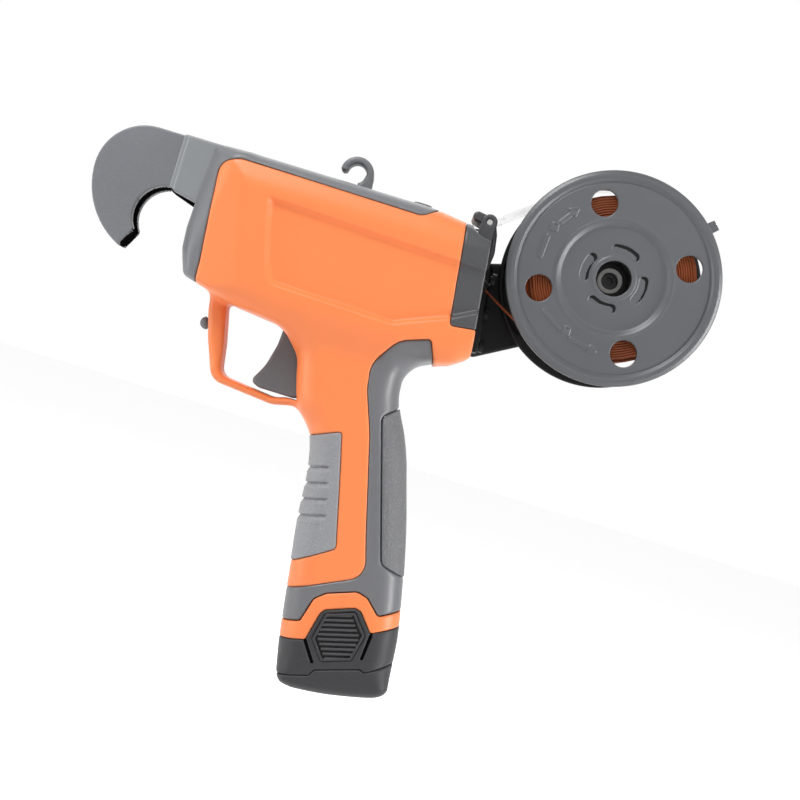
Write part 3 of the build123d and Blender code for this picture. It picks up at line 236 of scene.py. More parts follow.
@dataclass(frozen=True)
class Skin:
    """Surface net over the zero level of a solid's distance."""

    low: Corner
    high: Corner
    step: float
    settle_rounds: int = 2
    probe_share: float = 0.15
    least_steep: float = 0.25
    most_move: float = 0.5

    def grid(self) -> list[Array]:
        """Sample places along the three axes, with a margin."""
        return [
            np.arange(low - 2 * self.step, high + 3 * self.step, self.step, dtype=np.float32)
            for low, high in zip(self.low, self.high)
        ]

    def net(self, solid: Solid) -> tuple[Array, Array]:
        """Skin a solid.

        Args:
            solid: Distance of points to the solid, in millimetres.

        Returns:
            The points, and the four-cornered faces between them.
        """
        axes = self.grid()
        shape = tuple(len(axis) for axis in axes)
        level = solid(axes[0][:, None, None], axes[1][None, :, None], axes[2][None, None, :])
        level = np.ascontiguousarray(np.broadcast_to(level, shape), np.float32)
        inside = level < 0
        cells = tuple(size - 1 for size in shape)
        total = np.zeros((3, *cells), np.float32)
        count = np.zeros(cells, np.float32)
        crossings = []
        for axis in range(3):
            lower = [slice(None)] * 3
            upper = [slice(None)] * 3
            lower[axis], upper[axis] = slice(None, -1), slice(1, None)
            start, end = level[tuple(lower)], level[tuple(upper)]
            crossed = inside[tuple(lower)] != inside[tuple(upper)]
            share = np.where(crossed, start / np.where(crossed, start - end, 1.0), 0.0)
            crossings.append((crossed, inside[tuple(lower)]))
            others = [other for other in range(3) if other != axis]
            for first in (0, 1):
                for second in (0, 1):
                    window = [slice(None)] * 3
                    window[others[0]] = slice(first, first + cells[others[0]])
                    window[others[1]] = slice(second, second + cells[others[1]])
                    hit = crossed[tuple(window)]
                    total[axis] += share[tuple(window)]
                    total[others[0]] += hit * first
                    total[others[1]] += hit * second
                    count += hit
        active = count > 0
        number = np.full(cells, -1, np.int64)
        number[active] = np.arange(int(active.sum()))
        corner = np.argwhere(active)
        offset = np.stack([total[axis][active] / count[active] for axis in range(3)], 1)
        origin = np.array([axis[0] for axis in axes])
        points = origin + (corner + offset) * self.step
        faces = [self._faces(number, axis, *crossings[axis]) for axis in range(3)]
        return self._settle(solid, points), np.concatenate(faces)

    @staticmethod
    def _faces(number: Array, axis: int, crossed: Array, starts_inside: Array) -> Array:
        """Faces round every grid edge along one axis that crosses the surface."""
        one, two = [(1, 2), (2, 0), (0, 1)][axis]
        spots = np.argwhere(crossed)
        spots = spots[(spots[:, one] > 0) & (spots[:, two] > 0)]
        limits = np.array(number.shape)
        spots = spots[(spots[:, one] < limits[one]) & (spots[:, two] < limits[two])]
        ring = []
        for back_one, back_two in ((1, 1), (0, 1), (0, 0), (1, 0)):
            cell = spots.copy()
            cell[:, one] -= back_one
            cell[:, two] -= back_two
            ring.append(number[cell[:, 0], cell[:, 1], cell[:, 2]])
        faces = np.stack(ring, 1)
        turned = ~starts_inside[spots[:, 0], spots[:, 1], spots[:, 2]]
        faces[turned] = faces[turned][:, ::-1]
        return faces[(faces >= 0).all(1)]

    def _settle(self, solid: Solid, points: Array) -> Array:
        """Move the net's points along the gradient, onto the surface."""
        probe = self.probe_share * self.step
        for _ in range(self.settle_rounds):
            here = solid(points[:, 0], points[:, 1], points[:, 2])
            slope = []
            for axis in range(3):
                ahead = points.copy()
                ahead[:, axis] += probe
                slope.append((solid(ahead[:, 0], ahead[:, 1], ahead[:, 2]) - here) / probe)
            gradient = np.stack(slope, 1)
            steep = np.maximum((gradient**2).sum(1), self.least_steep)
            move = gradient * (here / steep)[:, None]
            length = np.linalg.norm(move, axis=1, keepdims=True)
            most = self.most_move * self.step
            points = points - move * np.minimum(1.0, most / np.maximum(length, 1e-9))
        return points


def plug(tree: bpy.types.NodeTree, socket: bpy.types.NodeSocket, source: object) -> None:
    """Link an input to its source, or set it where the source is a constant."""
    if isinstance(source, bpy.types.NodeSocket):
        tree.links.new(source, socket)
    else:
        socket.default_value = source


def feed(tree: bpy.types.NodeTree, node: bpy.types.Node, **sources: object) -> None:
    """Plug a source into each named input of a node, with _ for a space in the name."""
    for name, source in sources.items():
        plug(tree, node.inputs[name.replace("_", " ")], source)


def add_node(tree: bpy.types.NodeTree, kind: str, **sources: object) -> bpy.types.Node:
    """Add a node to a tree.

    Args:
        tree: Tree of a material, a world or a geometry.
        kind: Type of the node.
        sources: Socket or constant for each named input, with _ for a space.

    Returns:
        The new node.
    """
    node = tree.nodes.new(kind)
    feed(tree, node, **sources)
    return node


def add_sum(tree: bpy.types.NodeTree, work: str, *terms: object, kind: str = "Math") -> bpy.types.NodeSocket:
    """Work out one sum on numbers or vectors.

    Args:
        tree: Tree that gets the node.
        work: Operation of the node.
        terms: Socket or constant for each input, in order.
        kind: Math, or VectorMath.

    Returns:
        Socket of the result.
    """
    node = tree.nodes.new(f"ShaderNode{kind}")
    node.operation = work
    for socket, term in zip(node.inputs, terms):
        plug(tree, socket, term)
    return node.outputs[0]


GRAIN_DETAIL = 2.0
CLOUD_SCALE = 40.0
CLOUD_DETAIL = 4.0
BUMP_STRENGTH = 0.6
ROUGH_SPREAD = 0.07
ROUGH_LEAST = 0.03
PALER_BY = 0.22
SPECK_SPAN = (0.58, 0.72)
# pointiness span over which convex edges are paled as a painted highlight
PAINTED_HIGHLIGHT_SPAN = (0.52, 0.60)
EVEN = (1.0, 1.0, 1.0)
BRUSHED = (0.06, 1.0, 1.0)


@dataclass(frozen=True)
class Finish:
    """One surface finish: colour, gloss, moulded grain and edges paled as a painted highlight."""

    name: str
    slot: str
    colour: tuple[float, float, float]
    roughness: float = 0.45
    metallic: float = 0.0
    grain_mm: float = 0.45
    grain_depth: float = 0.06
    mottle: float = 0.06
    speckle: float = 0.0
    # share of the painted highlight on convex edges
    edge: float = 0.0
    alpha: float = 1.0
    specular: float = 0.5
    brushed: bool = False

    def material(self) -> bpy.types.Material:
        """The material of this finish, made once."""
        title = f"{self.name}_finish"
        made = bpy.data.materials.get(title)
        if made:
            return made
        made = bpy.data.materials.new(title)
        made.use_nodes = True
        tree = made.node_tree
        shader = tree.nodes["Principled BSDF"]
        own = tree.nodes.new("ShaderNodeTexCoord").outputs["Object"]
        stretch = BRUSHED if self.brushed else EVEN
        place = add_node(tree, "ShaderNodeMapping", Vector=own, Scale=stretch).outputs["Vector"]
        grain, cloud = (
            add_node(tree, "ShaderNodeTexNoise", Vector=place, Scale=scale, Detail=detail).outputs["Fac"]
            for scale, detail in ((1.0 / (self.grain_mm * MM), GRAIN_DETAIL), (CLOUD_SCALE, CLOUD_DETAIL))
        )
        least = max(ROUGH_LEAST, self.roughness - ROUGH_SPREAD)
        most = min(1.0, self.roughness + ROUGH_SPREAD)
        rough = add_node(tree, "ShaderNodeMapRange", Value=cloud, To_Min=least, To_Max=most)
        depth = self.grain_depth * MM
        bump = add_node(tree, "ShaderNodeBump", Strength=BUMP_STRENGTH, Distance=depth, Height=grain)
        feed(
            tree, shader, Metallic=self.metallic, Alpha=self.alpha, Specular_IOR_Level=self.specular,
            Base_Color=self._colour(tree, cloud, grain), Roughness=rough.outputs["Result"],
            Normal=bump.outputs["Normal"],
        )
        return made

    def _colour(
        self, tree: bpy.types.NodeTree, cloud: bpy.types.NodeSocket, grain: bpy.types.NodeSocket,
    ) -> bpy.types.NodeSocket:
        """Base colour with slow mottling, fine pale specks and a painted highlight on convex edges."""
        dark = tuple(c * (1 - self.mottle) for c in self.colour)
        light = tuple(min(1.0, c * (1 + self.mottle)) for c in self.colour)
        pale = tuple(min(1.0, c + PALER_BY) for c in self.colour)
        colour = self._mix(tree, cloud, (0.0, 1.0), 1.0, (*dark, 1.0), light)
        if self.speckle:
            colour = self._mix(tree, grain, SPECK_SPAN, self.speckle, colour, pale)
        # painted highlight: convex edges paled by pointiness, in place of the light that edges catch
        if self.edge:
            bent = tree.nodes.new("ShaderNodeNewGeometry").outputs["Pointiness"]
            colour = self._mix(tree, bent, PAINTED_HIGHLIGHT_SPAN, self.edge, colour, pale)
        return colour

    @staticmethod
    def _mix(
        tree: bpy.types.NodeTree, value: bpy.types.NodeSocket, span: Point, most: float,
        first: tuple | bpy.types.NodeSocket, second: tuple,
    ) -> bpy.types.NodeSocket:
        """Blend two colours by a value.

        Args:
            tree: Node tree of the material.
            value: Socket that steers the blend.
            span: Values at which the blend starts and ends.
            most: Share of the second colour at the end of the span.
            first: Colour with its alpha, or socket of one.
            second: Colour that is mixed in.

        Returns:
            Socket of the blended colour.
        """
        low, high = span
        share = add_node(tree, "ShaderNodeMapRange", Value=value, From_Min=low, From_Max=high, To_Max=most)
        mix = tree.nodes.new("ShaderNodeMix")
        mix.data_type = "RGBA"
        feed(tree, mix, Factor=share.outputs["Result"], A=first, B=(*second, 1.0))
        return mix.outputs["Result"]


ORANGE = Finish(
    "orange_plastic", "orange_plastic", (0.97, 0.252, 0.074), 0.42, grain_mm=0.5, grain_depth=0.05,
    mottle=0.02, edge=0.08,
)
GREY = Finish(
    "grey_plastic", "grey_plastic", (0.166, 0.169, 0.179), 0.42, grain_depth=0.08, speckle=0.10, edge=0.05,
)
CAP_GREY = Finish(
    "cap_grey", "grey_plastic", (0.054, 0.055, 0.060), 0.38, grain_depth=0.08, speckle=0.10, edge=0.1,
)
STRAP_GREY = Finish(
    "strap_grey", "grey_rubber", (0.146, 0.148, 0.158), 0.36, grain_mm=0.7, grain_depth=0.05, edge=0.1,
)
RUBBER = Finish(
    "grey_rubber", "grey_rubber", (0.136, 0.138, 0.146), 0.46, grain_mm=0.85, grain_depth=0.9, speckle=0.35,
)
# paler copy of the grey rubber for the front pad: painted light, because that pad faces the lamps more than
# the rear pad
PAD_RUBBER_PAINTED_LIGHT = Finish(
    "pad_rubber_painted_light", "grey_rubber", (0.275, 0.280, 0.295), 0.46, grain_mm=0.85, grain_depth=0.7, speckle=0.28,
)
JAW = Finish(
    "jaw_grey", "jaw_grey", (0.176, 0.185, 0.200), 0.44, grain_mm=0.6, grain_depth=0.1, speckle=0.2, edge=0.3,
)
# paler copy of the grey plastic for the nose block: painted light, where its face turns towards the lamps
NOSE_PAINTED_LIGHT = Finish("nose_grey", "nose_grey", (0.262, 0.277, 0.292), 0.40, speckle=0.08, edge=0.35)
BLACK = Finish(
    "black_plastic", "black_plastic", (0.005, 0.005, 0.0055), 0.42, grain_depth=0.04, specular=0.22,
)
# black without reflection: partly the real black wire guide, partly painted shade on the jaw plates' inner
# walls and in the battery's slits
BLACK_AND_SHADE = Finish("black_and_painted_shade", "black_plastic", (0.006, 0.006, 0.0065), 0.6, grain_depth=0.02, specular=0.0)
TRIGGER = Finish("trigger_grey", "trigger_grey", (0.118, 0.118, 0.124), 0.44, speckle=0.16, edge=0.5)
REEL = Finish(
    "reel_grey", "reel_grey", (0.092, 0.096, 0.105), 0.34, grain_mm=0.7, grain_depth=0.05, mottle=0.1,
)
BATTERY = Finish(
    "battery_grey", "battery_grey", (0.033, 0.033, 0.036), 0.46, grain_depth=0.16, speckle=0.07, edge=0.1,
    specular=0.3,
)
WIRE = Finish("tie_wire", "tie_wire", (0.235, 0.056, 0.016), 0.42, grain_mm=0.3, mottle=0.45, specular=0.25)
CLEAR = Finish(
    "clear_plastic", "clear_plastic", (0.90, 0.91, 0.92), 0.12, grain_depth=0.0, alpha=0.14, mottle=0.02,
)
STEEL = Finish(
    "steel", "steel", (0.58, 0.58, 0.60), 0.34, metallic=1.0, grain_mm=0.3, grain_depth=0.03, brushed=True,
)
BLACK_STEEL = Finish(
    "black_steel", "black_steel", (0.016, 0.016, 0.018), 0.36, grain_mm=0.3, grain_depth=0.03, specular=0.3,
)
MOTOR = Finish(
    "motor_can", "motor_can", (0.46, 0.46, 0.48), 0.38, metallic=1.0, grain_depth=0.03, brushed=True,
)
BRASS = Finish("brass", "brass", (0.72, 0.52, 0.20), 0.3, metallic=1.0, grain_depth=0.03)
BOARD = Finish("board_green", "board_green", (0.03, 0.20, 0.08), 0.3, mottle=0.3)
CELL = Finish("cell_wrap", "cell_wrap", (0.06, 0.22, 0.52), 0.3)
PALE = Finish("pale_plastic", "pale_plastic", (0.76, 0.76, 0.72), 0.42, speckle=0.1)
SLOT_FINISHES = (
    ORANGE, GREY, RUBBER, JAW, NOSE_PAINTED_LIGHT, BLACK, TRIGGER, REEL, BATTERY, WIRE, CLEAR, STEEL, BLACK_STEEL, MOTOR,
    BRASS, BOARD, CELL, PALE,
)
NODE_FINISHES = {
    "reel_hub": BLACK, "reel_spindle": PALE, "wire_inlet_bush": BLACK, "arm_screws": BLACK,
    "keeper_tab": REEL, "wire_tail": STEEL, "latch_pin": PALE,
}


def place_piece(piece: bpy.types.Object, finish: Finish, body: str, *names: str) -> None:
    """Give a piece its material, its body and the frame nodes that it stands for.

    Args:
        piece: Object with its place in its mesh or curve.
        finish: Surface finish.
        body: Moving body that carries it.
        names: Frame nodes that it replaces.
    """
    piece.data.materials.clear()
    piece.data.materials.append(finish.material())
    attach(piece, body)
    if names:
        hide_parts(*names)
    LOG.info("%s on %s", piece.name, body)


def mould(name: str, solid: Solid, skin: Skin, finish: Finish, body: str, *names: str) -> None:
    """Skin a solid and place it as a piece.

    Args:
        name: Piece name.
        solid: Distance to the solid, in millimetres.
        skin: Box and step of the net.
        finish: Surface finish.
        body: Moving body that carries the piece.
        names: Frame nodes that it replaces.
    """
    points, faces = skin.net(solid)
    mesh = bpy.data.meshes.new(name)
    mesh.from_pydata((points * MM).tolist(), [], faces.tolist())
    mesh.validate()
    mesh.polygons.foreach_set("use_smooth", np.ones(len(mesh.polygons), bool))
    mesh.update()
    piece = bpy.data.objects.new(name, mesh)
    bpy.context.scene.collection.objects.link(piece)
    LOG.info("%s has %d faces", name, len(mesh.polygons))
    place_piece(piece, finish, body, *names)


SPIRAL_STEPS = 44
WIRE_SIDES = 7
WOBBLE_SCALE = 0.11
RIB_SIDES = 14


class NodePlan:
    """Geometry Nodes tree under construction, with named inputs and a material."""

    def __init__(self, name: str, **kinds: str) -> None:
        """Start a tree.

        Args:
            name: Name of the tree.
            kinds: Socket kind of each input, by its name.
        """
        self.tree = bpy.data.node_groups.new(name, "GeometryNodeTree")
        self.tree.interface.new_socket("Geometry", in_out="OUTPUT", socket_type="NodeSocketGeometry")
        for title, kind in {**kinds, "Material": "Material"}.items():
            self.tree.interface.new_socket(title, in_out="INPUT", socket_type=f"NodeSocket{kind}")
        self.given = self.tree.nodes.new("NodeGroupInput").outputs

    def add(self, kind: str, result: str, **sources: object) -> bpy.types.NodeSocket:
        """Add a geometry node.

        Args:
            kind: Node type without its prefix.
            result: Name of the output that is wanted.
            sources: Socket or constant for each named input, with _ for a space.

        Returns:
            Socket of the result.
        """
        return add_node(self.tree, f"GeometryNode{kind}", **sources).outputs[result]

    def vector(self, **axes: object) -> bpy.types.NodeSocket:
        """Vector put together from its axes."""
        return add_node(self.tree, "ShaderNodeCombineXYZ", **axes).outputs["Vector"]

    def sum(self, work: str, *terms: object, kind: str = "Math") -> bpy.types.NodeSocket:
        """Result of one sum on numbers or vectors."""
        return add_sum(self.tree, work, *terms, kind=kind)

    def end(self, geometry: bpy.types.NodeSocket) -> bpy.types.NodeTree:
        """Close the tree with smooth shading, real meshes and the material."""
        smooth = self.add("SetShadeSmooth", "Geometry", Geometry=geometry)
        real = self.add("RealizeInstances", "Geometry", Geometry=smooth)
        dressed = self.add("SetMaterial", "Geometry", Geometry=real, Material=self.given["Material"])
        add_node(self.tree, "NodeGroupOutput", Geometry=dressed)
        return self.tree


def wound_wire_tree() -> bpy.types.NodeTree:
    """Wire wound in a spiral about Z, a little uneven; sizes in millimetres."""
    plan = NodePlan(
        "wound_wire", Turns="Float", Start="Float", End="Float", Height="Float", Wire="Float", Wobble="Float",
        Seed="Float",
    )
    given = plan.given
    spiral = plan.add(
        "CurveSpiral", "Curve", Resolution=SPIRAL_STEPS, Rotations=given["Turns"],
        Start_Radius=given["Start"], End_Radius=given["End"], Height=given["Height"],
    )
    noise = plan.tree.nodes.new("ShaderNodeTexNoise")
    noise.noise_dimensions = "4D"
    feed(plan.tree, noise, Scale=WOBBLE_SCALE, W=given["Seed"])
    centred = plan.sum("SUBTRACT", noise.outputs["Color"], (0.5, 0.5, 0.5), kind="VectorMath")
    offset = plan.sum("MULTIPLY", centred, given["Wobble"], kind="VectorMath")
    path = plan.add("SetPosition", "Geometry", Geometry=spiral, Offset=offset)
    section = plan.add("CurvePrimitiveCircle", "Curve", Resolution=WIRE_SIDES, Radius=given["Wire"])
    return plan.end(plan.add("CurveToMesh", "Mesh", Curve=path, Profile_Curve=section, Fill_Caps=True))


def rib_row_tree() -> bpy.types.NodeTree:
    """Row of round ribs along X, shorter towards both ends of the row; sizes in millimetres."""
    plan = NodePlan(
        "rib_row", Count="Int", Step="Float", Length="Float", Taper="Float", Width="Float", Height="Float",
    )
    given = plan.given
    middle = plan.sum("MULTIPLY", plan.sum("SUBTRACT", given["Count"], 1.0), 0.5)
    low = plan.sum("MULTIPLY", plan.sum("MULTIPLY", middle, given["Step"]), -1.0)
    line = plan.add(
        "MeshLine", "Mesh", Count=given["Count"], Start_Location=plan.vector(Z=low),
        Offset=plan.vector(Z=given["Step"]),
    )
    index = plan.add("InputIndex", "Index")
    away = plan.sum("ABSOLUTE", plan.sum("SUBTRACT", index, middle))
    length = plan.sum("SUBTRACT", given["Length"], plan.sum("MULTIPLY", away, given["Taper"]))
    size = plan.vector(X=length, Y=given["Height"], Z=given["Width"])
    path = plan.add("CurvePrimitiveLine", "Curve", Start=(-0.5, 0.0, 0.0), End=(0.5, 0.0, 0.0))
    section = plan.add("CurvePrimitiveCircle", "Curve", Resolution=RIB_SIDES, Radius=0.5)
    rib = plan.add("CurveToMesh", "Mesh", Curve=path, Profile_Curve=section, Fill_Caps=True)
    return plan.end(plan.add("InstanceOnPoints", "Instances", Points=line, Instance=rib, Scale=size))


def grown(name: str, tree: bpy.types.NodeTree, values: dict[str, object]) -> bpy.types.Mesh:
    """Run a node tree once and keep its result as a plain mesh.

    Args:
        name: Name of the mesh.
        tree: Tree to run.
        values: Value of each named input.

    Returns:
        The mesh, in metres.
    """
    holder = bpy.data.objects.new(f"{name}_holder", bpy.data.meshes.new(f"{name}_holder"))
    bpy.context.scene.collection.objects.link(holder)
    growth = holder.modifiers.new("growth", "NODES")
    growth.node_group = tree
    for item in tree.interface.items_tree:
        if item.item_type == "SOCKET" and item.in_out == "INPUT":
            growth[item.identifier] = values[item.name]
    graph = bpy.context.evaluated_depsgraph_get()
    mesh = bpy.data.meshes.new_from_object(holder.evaluated_get(graph), depsgraph=graph)
    holder.modifiers.remove(growth)
    bpy.data.objects.remove(holder)
    mesh.name = name
    mesh.transform(Matrix.Scale(MM, 4))
    return mesh


def settle_mesh(name: str, meshes: Sequence[bpy.types.Mesh], places: Sequence[Matrix]) -> bpy.types.Object:
    """Join placed meshes into one object at the origin.

    Args:
        name: Name of the object.
        meshes: Meshes to join.
        places: Where each of them goes.

    Returns:
        The new object.
    """
    whole = bmesh.new()
    for mesh, place in zip(meshes, places):
        mesh.transform(place)
        whole.from_mesh(mesh)
    bmesh.ops.remove_doubles(whole, verts=whole.verts, dist=1e-6)
    bmesh.ops.recalc_face_normals(whole, faces=whole.faces)
    for face in whole.faces:
        face.smooth = True
    joined = bpy.data.meshes.new(name)
    whole.to_mesh(joined)
    whole.free()
    piece = bpy.data.objects.new(name, joined)
    bpy.context.scene.collection.objects.link(piece)
    return piece


@dataclass
class BodyShape:
    """Outer form of barrel, handle and battery, shared by every moulded skin."""

    half: float = 28.0
    top: float = 38.4
    wall: float = 2.4
    corner: float = 12.0
    rear: float = 138.0
    rear_lean: float = 0.118
    grip_half: float = 21.6
    axis_x: float = 117.4
    axis_z: float = -117.0
    lean: float = math.radians(10.5)
    stem_half: float = 18.2
    panel_depth: float = 2.3
    front_corner: float = 5.0
    front_run: Point = (12.0, 34.0)
    rear_loss: float = 4.0
    rear_run: Point = (116.0, 136.0)
    foot_loss: float = 6.0
    foot_run: Point = (36.0, 48.0)
    swell_at: tuple[float, ...] = (0.0, 14.0, 26.0, 36.0)
    swell_by: tuple[float, ...] = (0.0, 0.2, 0.7, 1.2)
    facet_turn: float = 20.0
    facet_edge: float = 0.8
    crest_rise: float = 0.013
    crest_slope: float = 0.24
    crest_from: Point = (34.0, 5.0)
    crest_z: float = 26.4
    crest_x: float = 34.5
    rear_edge: float = 0.9
    blend: float = 9.0
    foot_line: tuple[Point, ...] = (
        (-24.8, 46.6), (-23.3, 48.9), (-20.2, 50.3), (-16.0, 51.2), (-3.0, 52.2), (14.0, 51.8), (19.8, 50.3),
        (21.9, 47.9),
    )

    def rear_x(self, z: Array | float) -> Array | float:
        """Where the leaning rear face stands at a height."""
        return self.rear - self.rear_lean * z

    def on_axis(self, across: float, along: float) -> Point:
        """Point of the handle's own frame, across it and down its axis."""
        x = self.axis_x + across * math.cos(self.lean) + along * math.sin(self.lean)
        z = self.axis_z + across * math.sin(self.lean) - along * math.cos(self.lean)
        return (x, z)

    def in_handle(self, x: Array, z: Array) -> tuple[Array, Array]:
        """How far behind and how far down the battery's axis points lie."""
        across, up = turned(x, z, (self.axis_x, self.axis_z), self.lean)
        return across, -up

    @cached_property
    def side(self) -> Outline:
        """Side outline of the barrel."""
        return outline(
            (12.3, self.top, 1.2), (108, self.top, 60), (self.rear + 11, 32.9), (self.rear + 17, -7),
            (133, -22, 12), (124, -24.4, 20), (100, -26.5, 40), (60, -27, 40), (36, -24.4, 30),
            (14.6, -18.6, 4), (10.2, -7.5, 8), (9.2, 1, 8), (9.9, 12, 20),
        )

    @cached_property
    def plan(self) -> Outline:
        """Half of the barrel's outline from above."""
        return outline(
            (8, -60), (8, 14, 4), (25, self.half, 10), (118, self.half, 30), (152, self.half - 1.6),
            (152, -60),
        )

    @cached_property
    def grip(self) -> Outline:
        """Side outline of handle and battery."""
        run = (
            (-40, 3.6, 1.6), (-20, 5.5, 3.8), (0, 6.5, 5.1), (14, 7.2, 5.6), (26, 7.6, 5.7), (36, 7.7, 4.9),
            (44, 7.2, 4.0),
        )
        front = [(60, -15), (65, -30), (70.3, -38), (72.6, -46), (76.5, -57), (84.7, -66.5)]
        rear = [(128, -15), (117.3, -30), (116.1, -38), (118, -46), (123.3, -56.5), (127.1, -66)]
        front += [self.on_axis(-self.stem_half - ahead, along) for along, ahead, _ in run]
        rear += [self.on_axis(self.stem_half + behind, along) for along, _, behind in run]
        foot = [self.on_axis(across, along) for across, along in self.foot_line]
        return outline(*smooth_line(front), *smooth_line(foot), *reversed(smooth_line(rear)))

    def behind(self, x: Array, z: Array) -> Array:
        """Distance to the leaning rear plane, negative in front of it."""
        return (x - self.rear_x(z)) / math.hypot(1.0, self.rear_lean)

    def barrel(self, x: Array, y: Array, z: Array) -> Array:
        """Distance to the barrel."""
        return meet(self.barrel_run(x, y, z), self.behind(x, z), self.rear_edge)

    def barrel_run(self, x: Array, y: Array, z: Array) -> Array:
        """Distance to the barrel before its rear face is cut."""
        radius = self.front_corner + (self.corner - self.front_corner) * ease(x, *self.front_run)
        radius = radius - self.rear_loss * ease(x, *self.rear_run)
        round_form = meet(self.side.distance(x, z), self.plan.distance(x, np.abs(y)), radius)
        out = np.abs(y) - self.half
        turn = math.radians(self.facet_turn)
        from_x, from_z = self.crest_from
        rise = self.crest_rise * (x - from_x)
        lean = self.crest_slope * (z - from_z)
        shoulder = out * math.cos(turn) + (z - self.crest_z - rise) * math.sin(turn)
        front = out * math.cos(turn) + (self.crest_x - lean - x) * math.sin(turn)
        return meet(meet(round_form, shoulder, self.facet_edge), front, self.facet_edge)

    def handle(self, x: Array, y: Array, z: Array) -> Array:
        """Distance to the handle, without the battery's swell."""
        return meet(self.grip.distance(x, z), np.abs(y) - self.grip_half, self.corner)

    def body(self, x: Array, y: Array, z: Array) -> Array:
        """Distance to barrel and handle as one smooth form."""
        return join(self.barrel(x, y, z), self.handle(x, y, z), self.blend)

    def battery(self, x: Array, y: Array, z: Array) -> Array:
        """Distance to the battery's foot, a little wider than the handle."""
        _, along = self.in_handle(x, z)
        swell = np.interp(along, self.swell_at, self.swell_by)
        radius = self.corner - self.foot_loss * ease(along, *self.foot_run)
        return meet(self.grip.distance(x, z), np.abs(y) - self.grip_half - swell, radius)

    def hollow(self, skin: Array, body: Array, wall: float | None = None) -> Array:
        """A skin cut down to a wall inside the body's surface."""
        return carve(skin, body + (self.wall if wall is None else wall))


SPINE = outline(
    (22.4, -60), (20.9, -11.4, 60), (17.2, 30.5, 8), (26.0, 33.7, 8), (104, 32.8, 6), (114, 41), (114, 70),
    (-60, 70), (-60, -60),
)
CAP = outline((121.8, 70), (122.4, 35), (127.8, -7.2, 1.5), (150, -4.4), (150, 70))
STRAP = outline(
    (122.4, -14.6, 2), (109.5, -19.0, 12), (101.4, -31, 12), (103.0, -42, 20), (109.4, -59.4, 60),
    (120.0, -99.3, 60), (125.1, -116.95, 7.6), (80, -138.3), (80, -240), (170, -240), (170, -27),
    (127.4, -27),
)
FRONT_PAD = outline((75, -71.8), (98.1, -62.1, 1.2), (103.1, -81.5, 40), (109.9, -109.2, 2), (80, -128.7))
REAR_PAD = outline(
    (130, -35.8), (112.4, -51.4, 3), (119.9, -76.3, 60), (129.9, -110.0, 4), (140.3, -113.3), (160, -118.5),
    (160, -35.8),
)
PANEL = outline(
    (40.6, 22.4, 2), (150, 18.6), (150, 7.4), (127.0, -4.8, 4), (105.2, -13.7, 6), (52.1, -12.4, 4),
    (47.8, -4.8, 6),
)
BEZEL_TOP = (
    (86, -143.0), (96.3, -144.8, 1.5), (104.2, -142.0, 1.5), (107.0, -131.6, 4), (111.4, -127.9, 4),
    (123.6, -123.6, 4), (128.5, -124.9, 3), (134.8, -131.0, 1.5), (143.8, -126.8, 1.5), (156, -120.8),
)
BEZEL_FOOT = (
    (86, -151.0), (97.5, -152.0, 1.5), (108.6, -148.7, 1), (111.6, -136.4, 1), (113.2, -134.6, 1.5),
    (124.8, -130.4, 2), (127.5, -131.1, 2), (133.7, -138.6, 1), (144.4, -133.8, 1.5), (156, -127.8),
)
CASE_FOOT = (
    (86, -170.5), (100.5, -166.4, 4), (114.1, -162.6, 1), (115.9, -159.7, 1), (133.9, -154.1, 1),
    (136.2, -154.9, 1), (146.6, -149.1, 1), (156, -143.0),
)
ABOVE_BEZEL = outline(*BEZEL_TOP, (170, 80), (-60, 80), (-60, -142.6))
UNDER_BEZEL_TOP, UNDER_BEZEL, UNDER_CASE = (
    outline(*line, (170, -240), (70, -240)) for line in (BEZEL_TOP, BEZEL_FOOT, CASE_FOOT)
)
GUARD = outline(
    (26.4, -20), (28.0, -30, 30), (31.2, -41, 40), (37.6, -57.6, 7), (65.3, -60.2, 10), (77.4, -57.4, 8),
    (86.2, -67.5), (95, -62), (92, -50), (73.9, -54.3, 2), (65.3, -57.0, 10), (40.7, -54.4, 5),
    (38.6, -41, 40), (36.0, -30, 30), (33.6, -20),
)
TRIGGER_FORM = outline(
    (61.0, -28.1, 0.5), (60.6, -35, 20), (58.2, -45, 20), (53.9, -53.0, 2.6), (58, -54.9, 6),
    (73.5, -55.0, 1.5), (80, -52), (80, -36), (68, -30.5, 2),
)
TAB_FORM = outline(
    (113.7, -136.2, 1), (125.3, -132.0, 1), (131.9, -140.1, 1), (129.4, -151.4, 1), (117.4, -155.4, 1),
    (111.3, -147.4, 1),
)
LEDGE = outline((125.4, 60), (125.6, 34.8, 0.5), (129.6, 31.9, 1), (134.5, 30.9), (150, 30.9), (150, 60))
LATCH_FORM = outline(
    (130.6, 37.6), (129.0, 39.4, 1), (128.6, 42.4, 1.4), (131.6, 43.5, 2), (134.5, 41.1, 2), (136.3, 36.2, 2),
    (137.6, 28.5, 10), (136.9, 22, 0.6), (135.754, 22, 0.2), (134.574, 32, 0.5), (134.338, 34.2, 0.5),
)
HOOK_FOOT = outline((73.6, 38.0), (79.6, 38.0), (78.65, 45), (75.4, 45), (74.6, 41.9, 2))
LUG = outline((-2.1, 17), (-1.8, 14.2, 0.8), (9.4, 10.6, 1), (11.4, 12.6, 1), (10, 18))
LATCH_PIN = (131.6, 40.5)
LATCH_EAR = 10.7
SEAM = 0.06
EDGE = 0.7


